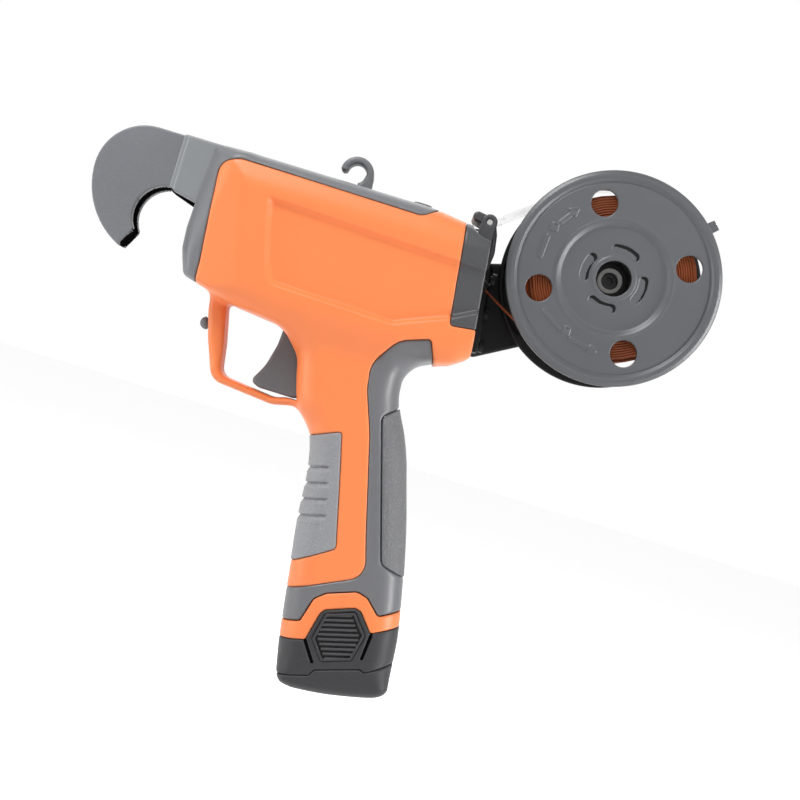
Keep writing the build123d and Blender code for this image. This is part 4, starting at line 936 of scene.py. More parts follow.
@dataclass
class Housing:
    """Orange shells, grey covers and grip pads of the tool's body."""

    form: BodyShape
    step: float = 0.7
    reach: float = 28.2
    panel_slope: Point = (1.7, 0.5)
    panel_top: Point = (13.0, 18.0)
    panel_side: Point = (14.0, 20.0)
    guard_half: float = 8.0
    guard_edge: float = 3.2
    pad_proud: float = 0.3
    strap_lip: float = 1.5
    strap_sunk: float = 1.1
    strap_run: Point = (-33.0, -25.0)
    groove_count: int = 4
    groove_turn: float = 16.9
    groove_width: float = 2.3
    groove_depth: float = 1.2
    groove_end: Point = (97.3, -77.2)
    groove_step: Point = (1.57, -6.53)
    screw_spots: tuple[Point, ...] = (
        (31, 18), (31, -13), (56, -18.3), (84, -19), (98, -19), (135, -15), (90, -57.3), (113.5, 31.5),
    )
    screw_seat: float = 16.0
    bore_radius: float = 3.1
    boss_radius: float = 4.4
    thread_radius: float = 1.7
    trigger_well: tuple[Corner, Corner] = ((56, -8.3, -55.5), (84, 8.3, -27.4))
    jaw_mouth: tuple[Corner, Corner] = ((0, -7.5, -8.5), (20, 7.5, 8.5))
    latch_seat: tuple[Corner, Corner] = ((124.2, -26, 28.8), (134.6, 26, 40))
    latch_half: float = 9.4
    pin_hole: float = 1.3
    ear_radius: float = 3.3
    ear_half: float = 1.3
    inlet_z: float = 14.8
    inlet_turn: float = -30.0
    inlet_radius: float = 3.05
    inlet_depth: float = 8.0
    button_x: float = 102.2
    button_reach: float = 1.15
    button_radius: float = 3.35
    pad_wall: float = 2.6

    def relief(self, x: Array, y: Array, z: Array) -> Array:
        """Barrel and handle with the shallow panel sunk into each flank."""
        low, more = self.panel_slope
        slope = low + more * ease(z, *self.panel_top)
        sunk = np.clip(-PANEL.distance(x, z) / slope, 0.0, 1.0) * ease(np.abs(y), *self.panel_side)
        form = self.form
        run = join(form.barrel_run(x, y, z), form.handle(x, y, z), form.blend)
        return meet(run + form.panel_depth * sunk, form.behind(x, z), form.rear_edge)

    def shell(self, side: Side) -> Solid:
        """One orange half shell with its half of the trigger guard."""

        def solid(x: Array, y: Array, z: Array) -> Array:
            """Distance to the shell."""
            body = self.relief(x, y, z)
            zone = ABOVE_BEZEL.distance(x, z)
            for other in (SPINE, CAP, STRAP, FRONT_PAD):
                zone = np.maximum(zone, -other.distance(x, z))
            zone = zone + SEAM
            skin = self.form.hollow(meet(body, zone, EDGE), body)
            guard = meet(GUARD.distance(x, z), np.abs(y) - self.guard_half, self.guard_edge)
            guard = meet(guard, np.maximum(zone, -(body + self.form.wall)), 0.3)
            skin = join(skin, guard, 3.0)
            if side is Side.RIGHT:
                skin = self._bosses(skin, body, zone, x, y, z)
            skin = carve(skin, block(x, y, z, *self.trigger_well), 0.5)
            return meet(skin, 0.05 - side.value * y, 0.35)

        return solid

    def _bosses(self, skin: Array, body: Array, zone: Array, x: Array, y: Array, z: Array) -> Array:
        """Add the screw bosses and their counterbores."""
        for spot_x, spot_z in self.screw_spots:
            reach = np.hypot(x - spot_x, z - spot_z)
            boss = np.maximum(np.maximum(reach - self.boss_radius, 0.4 - y), np.maximum(body, zone))
            skin = np.minimum(skin, boss)
            skin = carve(skin, np.maximum(reach - self.bore_radius, self.screw_seat - y), 0.35)
            skin = carve(skin, reach - self.thread_radius, 0.1)
        return skin

    def front_cover(self, x: Array, y: Array, z: Array) -> Array:
        """Distance to the bumper and spine, with the twister's mouth and the button's slot."""
        body = self.relief(x, y, z)
        skin = self.form.hollow(meet(body, SPINE.distance(x, z) + SEAM, EDGE), body)
        skin = carve(skin, block(x, y, z, *self.jaw_mouth), 0.8)
        long_x = np.maximum(np.abs(x - self.button_x) - self.button_reach, 0.0)
        slot = np.maximum(np.hypot(long_x, y) - self.button_radius, 30.0 - z)
        return carve(skin, slot, 0.4)

    def rear_cap(self, x: Array, y: Array, z: Array) -> Array:
        """Distance to the rear cap with the latch's seat, ears and wire inlet."""
        body = self.relief(x, y, z)
        zone = CAP.distance(x, z) + SEAM
        skin = self.form.hollow(meet(body, zone, EDGE), body)
        seat = np.maximum(block(x, y, z, *self.latch_seat), np.maximum(body, zone))
        skin = np.minimum(skin, seat)
        bay = block(x, y, z, (123.6, -self.latch_half, 33.6), (150, self.latch_half, 60))
        skin = carve(carve(skin, bay, 0.3), np.maximum(LEDGE.distance(x, z), 9.0 + y), 0.4)
        pin_x, pin_z = LATCH_PIN
        from_pin = np.hypot(x - pin_x, z - pin_z)
        stem = outline((128.5, 30.4), (135.0, 30.4), (134.9, pin_z), (128.3, pin_z))
        ear = np.minimum(from_pin - self.ear_radius, stem.distance(x, z))
        ear = meet(ear, np.abs(np.abs(y) - LATCH_EAR) - self.ear_half, 0.4)
        skin = carve(join(skin, ear, 0.8), np.maximum(from_pin - self.pin_hole, 9.0 - np.abs(y)), 0.2)
        inlet_x = self.form.rear_x(self.inlet_z)
        _, off = turned(x, z, (inlet_x, self.inlet_z), math.radians(self.inlet_turn))
        mouth = np.maximum(np.hypot(off, y) - self.inlet_radius, inlet_x - self.inlet_depth - x)
        return carve(skin, mouth, 0.3)

    def back_strap(self, x: Array, y: Array, z: Array) -> Array:
        """Distance to the grey strap down the back of the handle, and its collar."""
        body = self.form.body(x, y, z) + self.strap_sunk * ease(z, *self.strap_run)
        zone = np.maximum(ABOVE_BEZEL.distance(x, z), -CAP.distance(x, z))
        zone = np.maximum(STRAP.distance(x, z), zone) + SEAM
        lip = meet(meet(body, zone, EDGE), SEAM - REAR_PAD.distance(x, z), self.strap_lip)
        return self.form.hollow(lip, body)

    def front_pad(self, x: Array, y: Array, z: Array) -> Array:
        """Distance to the finger pad with its four grooves."""
        body = self.form.handle(x, y, z) - self.pad_proud
        rise = math.radians(self.groove_turn)
        for row in range(self.groove_count):
            end = [first + step * row for first, step in zip(self.groove_end, self.groove_step)]
            past, above = turned(x, z, end, rise)
            under = -above
            slope = ease(under, -0.15, 0.25) * np.clip(1.0 - under / self.groove_width, 0.0, 1.0)
            body = body + self.groove_depth * slope * ease(-past, -0.4, 0.8)
        return self.form.hollow(meet(body, FRONT_PAD.distance(x, z) + 0.1, 0.8), body, self.pad_wall)

    def rear_pad(self, x: Array, y: Array, z: Array) -> Array:
        """Distance to the palm pad."""
        body = self.form.handle(x, y, z) - self.pad_proud
        return self.form.hollow(meet(body, REAR_PAD.distance(x, z) + 0.04, 0.5), body, self.pad_wall)

    def build(self) -> None:
        """Make every piece of the housing."""
        for side in Side:
            name = f"{side.word}_shell"
            low, high = side.span(0.0, self.reach)
            skin = Skin((16, low, -146), (142, high, 38.6), self.step)
            mould(f"{name}_skin", self.shell(side), skin, ORANGE, "body", name)
        cover = Skin((8.5, -self.reach, -26), (116, self.reach, 38.6), self.step)
        mould("front_cover_skin", self.front_cover, cover, GREY, "body", "front_cover")
        cap = Skin((121, -self.reach, -8.5), (141, self.reach, 45), 0.55)
        mould("rear_cap_skin", self.rear_cap, cap, CAP_GREY, "body", "rear_cap")
        strap = Skin((84, -self.reach, -146), (150, self.reach, -13), 0.65)
        mould("back_strap_skin", self.back_strap, strap, STRAP_GREY, "body", "handle_back_strap")
        front = Skin((76, -22.5, -128), (113, 22.5, -61), 0.42)
        mould("front_pad_skin", self.front_pad, front, PAD_RUBBER_PAINTED_LIGHT, "body", "front_grip_pad")
        rear = Skin((110, -22.5, -119), (152, 22.5, -40), 0.5)
        mould("rear_pad_skin", self.rear_pad, rear, RUBBER, "body", "rear_grip_pad")


@dataclass
class BatteryPack:
    """Slide-out battery: orange band, case, bottom cover, deck and ribbed release tabs."""

    form: BodyShape
    wall: float = 2.2
    step: float = 0.55
    case_gap: float = 0.12
    case_edge: float = 0.6
    flank: float = 15.0
    skirt_half: Point = (17.6, 18.7)
    skirt_corner: float = 8.5
    skirt_run: Point = (19.2, 5.6)
    deck_half: float = 19.0
    deck_run: Point = (25.2, 0.7)
    tab_middle: float = 21.9
    tab_half: float = 1.2
    tab_out: float = 23.1
    dish_depth: float = 1.5
    slit_radius: float = 0.68
    slit_depth: float = 1.8
    rib_count: int = 10
    rib_step: float = 2.0
    rib_length: float = 17.6
    rib_taper: float = 1.5
    rib_width: float = 1.4
    rib_height: float = 2.6
    rib_sunk: float = 1.4
    rib_at: Point = (121.5, -143.8)
    rib_turn: float = math.radians(15.0)
    slits: tuple[tuple[Point, Point], ...] = (
        ((108.8, -149.1), (114.0, -156.8)), ((134.3, -139.4), (133.4, -149.6)),
    )

    def band(self, x: Array, y: Array, z: Array) -> Array:
        """Distance to the orange band."""
        body = self.form.battery(x, y, z)
        zone = np.maximum(UNDER_BEZEL_TOP.distance(x, z) + 0.35, -UNDER_BEZEL.distance(x, z) + 0.1)
        return self.form.hollow(meet(body, zone, 0.55), body, self.wall)

    def case(self, x: Array, y: Array, z: Array) -> Array:
        """Distance to the dark case with its tab windows and slits."""
        body = self.form.battery(x, y, z)
        zone = np.maximum(UNDER_BEZEL.distance(x, z), -UNDER_CASE.distance(x, z)) + self.case_gap
        skin = self.form.hollow(meet(body, zone, self.case_edge), body, self.wall)
        inner = self.flank - np.abs(y)
        skin = carve(skin, np.maximum(TAB_FORM.distance(x, z) - SEAM, inner), 0.12)
        for start, end in self.slits:
            slit = np.maximum(bar(x, z, start, end, self.slit_radius), inner)
            skin = carve(skin, np.maximum(slit, -(body + self.slit_depth)), 0.2)
        return skin

    def slit_shade_floors(self, x: Array, y: Array, z: Array) -> Array:
        """Distance to black sheets at the foot of the slits, painted shade in them."""
        body = self.form.battery(x, y, z)
        lines = [bar(x, z, start, end, self.slit_radius + 0.05) for start, end in self.slits]
        sheet = np.maximum(np.abs(body + self.slit_depth - 0.4) - 0.45, self.flank - np.abs(y))
        return np.maximum(np.minimum(*lines), sheet)

    def bottom(self, x: Array, y: Array, z: Array) -> Array:
        """Distance to the bottom cover."""
        body = self.form.battery(x, y, z)
        skin = meet(body, UNDER_CASE.distance(x, z) + self.case_gap, self.case_edge)
        return self.form.hollow(skin, body, self.wall)

    def deck(self, x: Array, y: Array, z: Array) -> Array:
        """Distance to the skirt round the cells under the stem, and the deck at its foot."""
        across, along = self.form.in_handle(x, z)
        half_x, half_y = self.skirt_half
        skirt = meet(np.abs(across) - half_x, np.abs(y) - half_y, self.skirt_corner)
        skirt = np.maximum(skirt, np.abs(along - self.skirt_run[0]) - self.skirt_run[1])
        plate = np.maximum(self.form.battery(x, y, z) + self.wall - 0.3, np.abs(y) - self.deck_half)
        return np.minimum(skirt, np.maximum(plate, np.abs(along - self.deck_run[0]) - self.deck_run[1]))

    def tab(self, side: Side) -> Solid:
        """One release tab: a dished plate inside a raised border."""

        def solid(x: Array, y: Array, z: Array) -> Array:
            """Distance to the tab."""
            reach = side.value * y
            form = TAB_FORM.distance(x, z)
            plate = meet(form, np.abs(reach - self.tab_middle) - self.tab_half, 0.15)
            dish = np.maximum(form + 1.1, self.tab_out - self.dish_depth - reach)
            return carve(plate, dish, 0.3)

        return solid

    def dish_shade_floor(self, side: Side) -> Solid:
        """Black floor between the ribs of one release tab: painted shade in the grooves between them."""

        def solid(x: Array, y: Array, z: Array) -> Array:
            """Distance to the floor."""
            middle = self.tab_out - self.dish_depth - 0.1
            return np.maximum(TAB_FORM.distance(x, z) + 1.0, np.abs(side.value * y - middle) - 0.25)

        return solid

    def ribs(self, side: Side, tree: bpy.types.NodeTree) -> None:
        """Grip ribs inside the border of one release tab."""
        name = side.word
        values = {
            "Count": self.rib_count, "Step": self.rib_step, "Length": self.rib_length,
            "Taper": self.rib_taper, "Width": self.rib_width, "Height": self.rib_height,
            "Material": BATTERY.material(),
        }
        mesh = grown(f"release_ribs_{name}", tree, values)
        turn = Matrix.Rotation(-self.rib_turn, 4, "Y")
        at_x, at_z = self.rib_at
        out = side.value * (self.tab_out - self.rib_sunk)
        place = Matrix.Translation((at_x * MM, out * MM, at_z * MM)) @ turn
        piece = settle_mesh(f"release_ribs_{name}_rows", [mesh], [place])
        place_piece(piece, BATTERY, f"release_{name}")

    def build(self) -> None:
        """Make every piece of the battery."""
        skin = Skin((92, -23, -173.5), (158, 23, -122), self.step)
        mould("battery_band_skin", self.band, skin, ORANGE, "battery", "battery_bezel")
        mould("battery_case_skin", self.case, skin, BATTERY, "battery", "battery_case")
        mould("battery_bottom_skin", self.bottom, skin, BATTERY, "battery", "battery_bottom_cover")
        deck = Skin((92, -19.2, -156), (150, 19.2, -124), 0.6)
        mould("battery_deck_skin", self.deck, deck, BLACK, "battery")
        floors = Skin((107, -23.4, -159), (136, 23.4, -138), 0.33)
        # black sheets in the slits: painted shade
        mould("battery_slit_painted_shade", self.slit_shade_floors, floors, BLACK_AND_SHADE, "battery")
        rows = rib_row_tree()
        for side in Side:
            name = side.word
            low, high = side.span(20.5, 23.4)
            area = Skin((110.8, low, -155.8), (132.4, high, -131.6), 0.35)
            body = f"release_{name}"
            mould(f"release_tab_{name}_skin", self.tab(side), area, BATTERY, body, f"release_tab_{name}")
            # black floor under the ribs: painted shade between them
            mould(f"release_dish_{name}_floor", self.dish_shade_floor(side), area, BLACK, body)
            self.ribs(side, rows)


@dataclass
class Jaw:
    """Hooked jaw: two plates over a dark wire channel, and the nose block that carries them."""

    form: BodyShape
    bore: float = 13.7
    bore_at: Point = (-1.0, 2.0)
    crown: float = 22.0
    crown_at: Point = (-14.0, 16.4)
    sweep: float = 34.0
    tip: Point = (-16.6, -14.5)
    back: float = 8.0
    plate_low: float = 4.5
    plate_high: float = 8.5
    lining_and_shade_half: float = 7.9
    lug_half: float = 4.3
    groove_half: float = 1.05
    nose_half: float = 10.0
    step: float = 0.42

    def hook(self, set_back: float) -> Outline:
        """Side outline of the jaw with its inner edge set back."""
        bore = self.bore + set_back
        sweep_at = (self.crown_at[0] - self.crown + self.sweep, self.crown_at[1])
        mouth_x, mouth_z, _ = arc(self.bore_at, bore, 216, 216, 1)[0]
        return outline(
            (self.back, self.form.top), *arc(self.crown_at, self.crown, 90, 180, 16),
            *arc(sweep_at, self.sweep, 184, 243, 12), (*self.tip, 0.8), (mouth_x, mouth_z, 1.6),
            *arc(self.bore_at, bore, 205, 90, 22), (self.back, self.bore_at[1] + bore),
        )

    def plate(self, side: Side) -> Solid:
        """One side plate, rebated for the black lining that paints shade over the plate's inner wall."""
        edge, lining, behind = (self.hook(depth) for depth in (0.0, 0.4, 3.3))
        middle = (self.plate_low + self.plate_high) / 2

        def solid(x: Array, y: Array, z: Array) -> Array:
            """Distance to the plate."""
            reach = side.value * y
            flat = meet(edge.distance(x, z), np.abs(reach - middle) - (self.plate_high - middle), 0.55)
            rebate = np.maximum(lining.distance(x, z), -behind.distance(x, z))
            rebate = np.maximum(rebate, reach - self.lining_and_shade_half - 0.08)
            return carve(flat, rebate, 0.1)

        return solid

    def channel(self) -> Solid:
        """Dark wire channel along the jaw's inner edge, with its groove and the lug under the nose; its black
        is the real guide in the middle and painted shade where it lines the plates' inner walls.
        """
        edge, behind, core, painted_shade = (self.hook(depth) for depth in (0.5, 3.2, 3.0, 4.1))

        def solid(x: Array, y: Array, z: Array) -> Array:
            """Distance to the channel."""
            # the lining reaches over the plates' inner walls: painted shade where the bore is in shadow
            lining = np.maximum(edge.distance(x, z), -behind.distance(x, z))
            lining = meet(lining, np.abs(y) - self.lining_and_shade_half, 0.7)
            middle = np.maximum(core.distance(x, z), np.abs(y) - self.plate_low + 0.05)
            under = meet(LUG.distance(x, z), np.abs(y) - self.lug_half, 0.5)
            under = np.maximum(under, -self.form.barrel(x, y, z) + 0.1)
            whole = np.minimum(np.minimum(lining, middle), under)
            groove = np.maximum(edge.distance(x, z) - 0.5, -painted_shade.distance(x, z))
            return carve(whole, np.maximum(groove, np.abs(y) - self.groove_half), 0.25)

        return solid

    def nose(self) -> Solid:
        """Block between the jaw and the barrel, coloured paler as painted light, with a raised lip at its
        front.
        """
        top = self.form.top + 0.5
        profile = outline((-0.9, top, 1), (-0.9, 14.5, 1), (11, 11.9, 1), (14, 16), (14, top))
        lip = outline((-2.6, top, 1), (-2.6, 15.6, 1), (0, 15), (0, top))
        inner = self.hook(-0.06)

        def solid(x: Array, y: Array, z: Array) -> Array:
            """Distance to the nose."""
            whole = meet(profile.distance(x, z), np.abs(y) - self.nose_half, 0.9)
            whole = np.minimum(whole, meet(lip.distance(x, z), np.abs(y) - self.nose_half + 0.7, 0.4))
            whole = np.maximum(whole, 0.06 - self.form.barrel(x, y, z))
            return carve(whole, np.maximum(inner.distance(x, z), np.abs(y) - self.plate_high - 0.06), 0.15)

        return solid

    def build(self) -> None:
        """Make the jaw's pieces."""
        for side in Side:
            low, high = side.span(self.plate_low, self.plate_high)
            skin = Skin((-36.2, low, -15), (8.2, high, 38.6), self.step)
            name = f"jaw_{side.word}_plate"
            mould(f"{name}_skin", self.plate(side), skin, JAW, "body", name)
        skin = Skin((-36.2, -8.1, -15), (13, 8.1, 38.6), self.step)
        mould("jaw_channel_skin", self.channel(), skin, BLACK_AND_SHADE, "body", "jaw_wire_guide")
        skin = Skin((-3, -10.2, 10), (15, 10.2, 39.1), self.step)
        mould("nose_skin", self.nose(), skin, NOSE_PAINTED_LIGHT, "body", "nose_block")


@dataclass
class Fittings:
    """Trigger, hang hook, latch lever with its spring, and the keeper's lugs."""

    wire: bpy.types.NodeTree
    trigger_half: float = 7.5
    plunger_radius: float = 2.0
    plunger_half: float = 6.5
    plunger_x: float = 84.5
    plunger_drop: float = 44.0
    ring_at: Point = (71.4, 45.0)
    ring_middle: float = 5.625
    ring_bar: float = 1.625
    ring_end: float = 172.0
    hook_half: float = 4.0
    thumb: tuple[Point, Point] = ((126.3, 41.8), (131.6, 41.0))
    thumb_radius: float = 2.15
    pin_hole: float = 1.27
    latch_half: float = 9.0
    spring_x: float = 127.3
    spring_low: float = 33.6
    spring_high: float = 39.6
    spring_radius: float = 1.6
    spring_wire: float = 0.25

    def trigger(self, x: Array, y: Array, z: Array) -> Array:
        """Distance to the trigger with its plunger."""
        lever = meet(TRIGGER_FORM.distance(x, z), np.abs(y) - self.trigger_half, 1.8)
        rod = np.hypot(y, z + self.plunger_drop) - self.plunger_radius
        plunger = meet(rod, np.abs(x - self.plunger_x) - self.plunger_half, 0.3)
        return join(lever, plunger, 0.4)

    def hang_hook(self, x: Array, y: Array, z: Array) -> Array:
        """Distance to the hook on the spine, open towards the jaw."""
        centre_x, centre_z = self.ring_at
        ring = np.abs(np.hypot(x - centre_x, z - centre_z) - self.ring_middle) - self.ring_bar
        turn = math.radians(self.ring_end)
        _, beyond = turned(x, z, self.ring_at, turn)
        ring = np.maximum(ring, -np.maximum(x - centre_x - 1.5, -beyond))
        tip_x = centre_x + self.ring_middle * math.cos(turn)
        tip_z = centre_z + self.ring_middle * math.sin(turn)
        tip = np.hypot(x - tip_x, z - tip_z) - self.ring_bar
        flat = join(np.minimum(ring, tip), HOOK_FOOT.distance(x, z), 0.8)
        return meet(flat, np.abs(y) - self.hook_half, 1.5)

    def latch(self, x: Array, y: Array, z: Array) -> Array:
        """Distance to the latch lever, with its pin hole."""
        thumb = bar(x, z, *self.thumb, self.thumb_radius)
        solid = meet(join(LATCH_FORM.distance(x, z), thumb, 0.8), np.abs(y) - self.latch_half, 0.8)
        pin_x, pin_z = LATCH_PIN
        return carve(solid, np.hypot(x - pin_x, z - pin_z) - self.pin_hole, 0.15)

    def keeper_root(self, x: Array, y: Array, z: Array) -> Array:
        """Distance to the two clear lugs that hold the keeper strip on the latch's ears."""
        pin_x, pin_z = LATCH_PIN
        lug = bar(x, z, (pin_x + 2.6, pin_z + 2.0), (pin_x + 5.6, pin_z + 3.3), 0.5)
        return meet(lug, np.abs(np.abs(y) - LATCH_EAR) - 1.2, 0.2)

    def spring(self) -> None:
        """Coil spring under the latch's thumb tab."""
        low, high = self.spring_low + 0.3, self.spring_high - 0.3
        values = {
            "Turns": 4.0, "Start": self.spring_radius, "End": self.spring_radius, "Height": high - low,
            "Wire": self.spring_wire, "Wobble": 0.0, "Seed": 0.0, "Material": STEEL.material(),
        }
        mesh = grown("latch_coil", self.wire, values)
        place = Matrix.Translation((self.spring_x * MM, 0.0, low * MM))
        piece = settle_mesh("latch_coil_wire", [mesh], [place])
        place_piece(piece, STEEL, "body", "latch_spring")
        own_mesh(piece)

    def build(self) -> None:
        """Make the fittings."""
        lever = Skin((53, -7.6, -55.2), (91.2, 7.6, -28), 0.42)
        mould("trigger_skin", self.trigger, lever, TRIGGER, "trigger", "trigger")
        ring = Skin((64, -4.1, 37.9), (80, 4.1, 52.4), 0.3)
        mould("hang_hook_skin", self.hang_hook, ring, GREY, "body", "hang_hook")
        skin = Skin((124, -9.1, 21.8), (138, 9.1, 44.4), 0.32)
        mould("latch_lever_skin", self.latch, skin, CAP_GREY, "latch_lever", "latch_lever")
        lugs = Skin((133.4, -12.2, 41.6), (138, 12.2, 44.6), 0.24)
        mould("keeper_root", self.keeper_root, lugs, CLEAR, "body")
        self.spring()


@dataclass
class Reel:
    """Wire reel with pierced flanges and its winding, and the arm that carries it."""

    form: BodyShape
    wire: bpy.types.NodeTree
    x: float = 187.5
    z: float = 31.8
    radius: float = 45.0
    inner: float = 19.5
    hole_radius: float = 5.6
    hole_at: float = 31.5
    hole_turn: float = 24.0
    slot_at: float = 12.5
    slot_width: float = 3.8
    slot_sweep: float = 40.0
    slot_turn: float = -8.0
    window_at: float = 37.2
    window_width: float = 11.4
    window_sweep: float = 38.0
    wound_radius: float = 34.5
    core_radius: float = 17.1
    end_start: float = 18.2
    outer_turns: float = 29.0
    end_turns: float = 15.0
    wire_radius: float = 0.5
    wobble: float = 0.5
    stroke_half: float = 0.85
    head_half: float = 0.45
    mark_height: float = 0.45
    arm_low: float = 24.0
    arm_high: float = 30.0
    boss_radius: float = 12.0
    strokes: tuple[tuple[Point, Point], ...] = (
        ((163.83, 10.39), (171.34, 5.38)), ((177.5, 2.4), (186.6, 0.9)), ((155.54, 31.58), (156.12, 40.44)),
        ((159.3, 47.4), (163.4, 53.0)),
    )
    heads: tuple[tuple[Point, Point], ...] = (
        ((188.9, 0.4), (186.4, 2.3)), ((188.9, 0.4), (185.9, -0.7)), ((186.4, 2.3), (185.9, -0.7)),
        ((164.9, 55.1), (161.6, 53.9)), ((164.9, 55.1), (164.5, 51.7)), ((161.6, 53.9), (164.5, 51.7)),
    )
    locks: tuple[Point, ...] = ((174.8, 4.42), (157.66, 44.3))

    @cached_property
    def profile(self) -> Outline:
        """Half section of a flange: distance from the axis, then from the middle plane."""
        return outline(
            (7.4, self.inner), (7.4, 20.7, 0.4), (9.2, 20.7, 0.6), (9.6, 20.3, 0.5), (22.0, 20.3, 1.2),
            (23.6, 21.6, 0.4), (24.4, 22.0, 0.4), (25.6, 21.6, 0.8), (39.6, 21.6, 0.4), (40.2, 21.1, 0.3),
            (41.6, 22.4, 0.5), (43.2, 22.5, 0.8), (self.radius, 21.4, 0.6), (self.radius, self.inner, 0.3),
        )

    def arc_slot(self, x: Array, z: Array, radius: float, middle: float, sweep: float, width: float) -> Array:
        """Distance in the x-z plane to a slot bent round the reel's centre.

        Args:
            x: Places along X.
            z: Places along Z.
            radius: Of the slot's middle line.
            middle: Angle of its middle, in degrees.
            sweep: Angle that its middle line covers, in degrees.
            width: Of the slot.

        Returns:
            Distance, negative inside.
        """
        along, across = turned(x, z, (self.x, self.z), math.radians(middle))
        half = math.radians(sweep / 2)
        held = np.clip(np.arctan2(across, along), -half, half)
        return np.hypot(along - radius * np.cos(held), across - radius * np.sin(held)) - width / 2

    def from_axis(self, x: Array, z: Array) -> Array:
        """How far from the reel's axis points lie."""
        return np.hypot(x - self.x, z - self.z)

    def marks(self, x: Array, z: Array) -> Array:
        """Distance to the raised guide marks: strokes, arrows and padlocks."""
        drawn = np.full(np.broadcast(x, z).shape, 99.0)
        for start, end in self.strokes:
            drawn = np.minimum(drawn, bar(x, z, start, end, self.stroke_half))
        for start, end in self.heads:
            drawn = np.minimum(drawn, bar(x, z, start, end, self.head_half))
        for lock_x, lock_z in self.locks:
            case = np.maximum(np.abs(x - lock_x) - 1.6, np.abs(z - lock_z) - 1.2)
            loop = np.maximum(np.abs(np.hypot(x - lock_x, z - lock_z - 1.3) - 1.2) - 0.38, lock_z + 1.1 - z)
            drawn = np.minimum(drawn, np.minimum(case, loop))
        return drawn

    def front_flange(self, x: Array, y: Array, z: Array) -> Array:
        """Distance to the flange that faces the user, with holes, slots and marks."""
        depth = -y
        flange = self.profile.distance(self.from_axis(x, z), depth)
        raised = self.mark_height * ease(-self.marks(x, z), -0.12, 0.12)
        flange = flange - raised * ease(depth, 20.5, 21.5)
        for quarter in range(4):
            turn = math.radians(self.hole_turn + 90 * quarter)
            hole_x = self.x + self.hole_at * math.cos(turn)
            hole_z = self.z + self.hole_at * math.sin(turn)
            flange = carve(flange, np.hypot(x - hole_x, z - hole_z) - self.hole_radius, 0.45)
            middle = self.slot_turn + 90 * quarter
            slot = self.arc_slot(x, z, self.slot_at, middle, self.slot_sweep, self.slot_width)
            flange = carve(flange, slot, 0.3)
            aside = self.arc_slot(x + 0.9, z + 1.1, self.slot_at, middle, self.slot_sweep, self.slot_width)
            flange = np.minimum(flange, meet(np.maximum(slot, aside) - 0.05, np.abs(depth - 19.7) - 0.2, 0.1))
        return flange

    def back_flange(self, x: Array, y: Array, z: Array) -> Array:
        """Distance to the far flange, with its four windows."""
        flange = self.profile.distance(self.from_axis(x, z), y)
        for quarter in range(4):
            middle = self.hole_turn + 90 * quarter
            window = self.arc_slot(x, z, self.window_at, middle, self.window_sweep, self.window_width)
            flange = carve(flange, window, 0.4)
        return flange

    def arm(self, x: Array, y: Array, z: Array) -> Array:
        """Distance to the dark arm behind the reel and its foot on the rear face."""
        at = self.form.rear_x
        side = outline(
            (at(27) + 0.1, 27), (144, 29.6, 20), (170, 44, 30), (200.5, 45.8, 13), (200.5, 17.8, 13),
            (162, -3.6, 30), (at(-14) + 3, -14.6, 3), (at(-14) + 0.1, -14),
        )
        flat = side.distance(x, z)
        middle = (self.arm_low + self.arm_high) / 2
        half = (self.arm_high - self.arm_low) / 2
        blade = meet(flat, np.abs(y - middle) - half, 1.0)
        sunk = np.maximum(flat + 4.5, self.arm_high - 0.9 - y)
        blade = carve(blade, np.maximum(sunk, self.boss_radius - self.from_axis(x, z)), 0.5)
        base = outline((at(26) + 0.1, 26), (at(26) + 4, 26, 1), (at(-13) + 4, -13, 1), (at(-13) + 0.1, -13))
        foot = meet(base.distance(x, z), np.abs(y - 17.5) - 7.5, 0.6)
        return join(blade, foot, 1.2)

    def winding(self) -> None:
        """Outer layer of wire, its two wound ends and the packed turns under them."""
        half = self.inner - 0.6
        common = {"Wire": self.wire_radius, "Wobble": self.wobble, "Material": WIRE.material()}
        outer = {
            "Turns": self.outer_turns, "Start": self.wound_radius, "End": self.wound_radius,
            "Height": 2 * half, "Seed": 3.0, **common,
        }
        end = {
            "Turns": self.end_turns, "Start": self.end_start, "End": self.wound_radius - 0.6, "Height": 0.0,
            **common,
        }
        meshes = [
            grown("outer_turns", self.wire, outer),
            grown("near_turns", self.wire, {**end, "Seed": 5.0}),
            grown("far_turns", self.wire, {**end, "Seed": 8.0}),
            self._packed_turns(half - 0.3),
        ]
        stand = Matrix.Translation((self.x * MM, 0.0, self.z * MM)) @ Matrix.Rotation(math.pi / 2, 4, "X")
        places = [stand @ Matrix.Translation((0.0, 0.0, offset * MM)) for offset in (-half, half, -half, 0.0)]
        piece = settle_mesh("winding_turns", meshes, places)
        place_piece(piece, WIRE, "reel", "wire_winding", "wire_core")

    def _packed_turns(self, half: float) -> bpy.types.Mesh:
        """Ring of wound wire under the outer turns, ridged like them."""
        ridges = np.linspace(-half, half, 38)
        outer = self.wound_radius - 0.55
        rim = [(outer - 0.15 * (index % 2), float(ridge)) for index, ridge in enumerate(ridges)]
        section = [(self.core_radius, -half), *rim, (self.core_radius, half)]
        whole = bmesh.new()
        points = [whole.verts.new((radius * MM, 0.0, along * MM)) for radius, along in section]
        edges = [whole.edges.new(pair) for pair in zip(points, points[1:] + points[:1])]
        bmesh.ops.spin(
            whole, geom=points + edges, cent=(0, 0, 0), axis=(0, 0, 1), angle=2 * math.pi, steps=96,
            use_merge=True,
        )
        mesh = bpy.data.meshes.new("packed_turns")
        whole.to_mesh(mesh)
        whole.free()
        return mesh

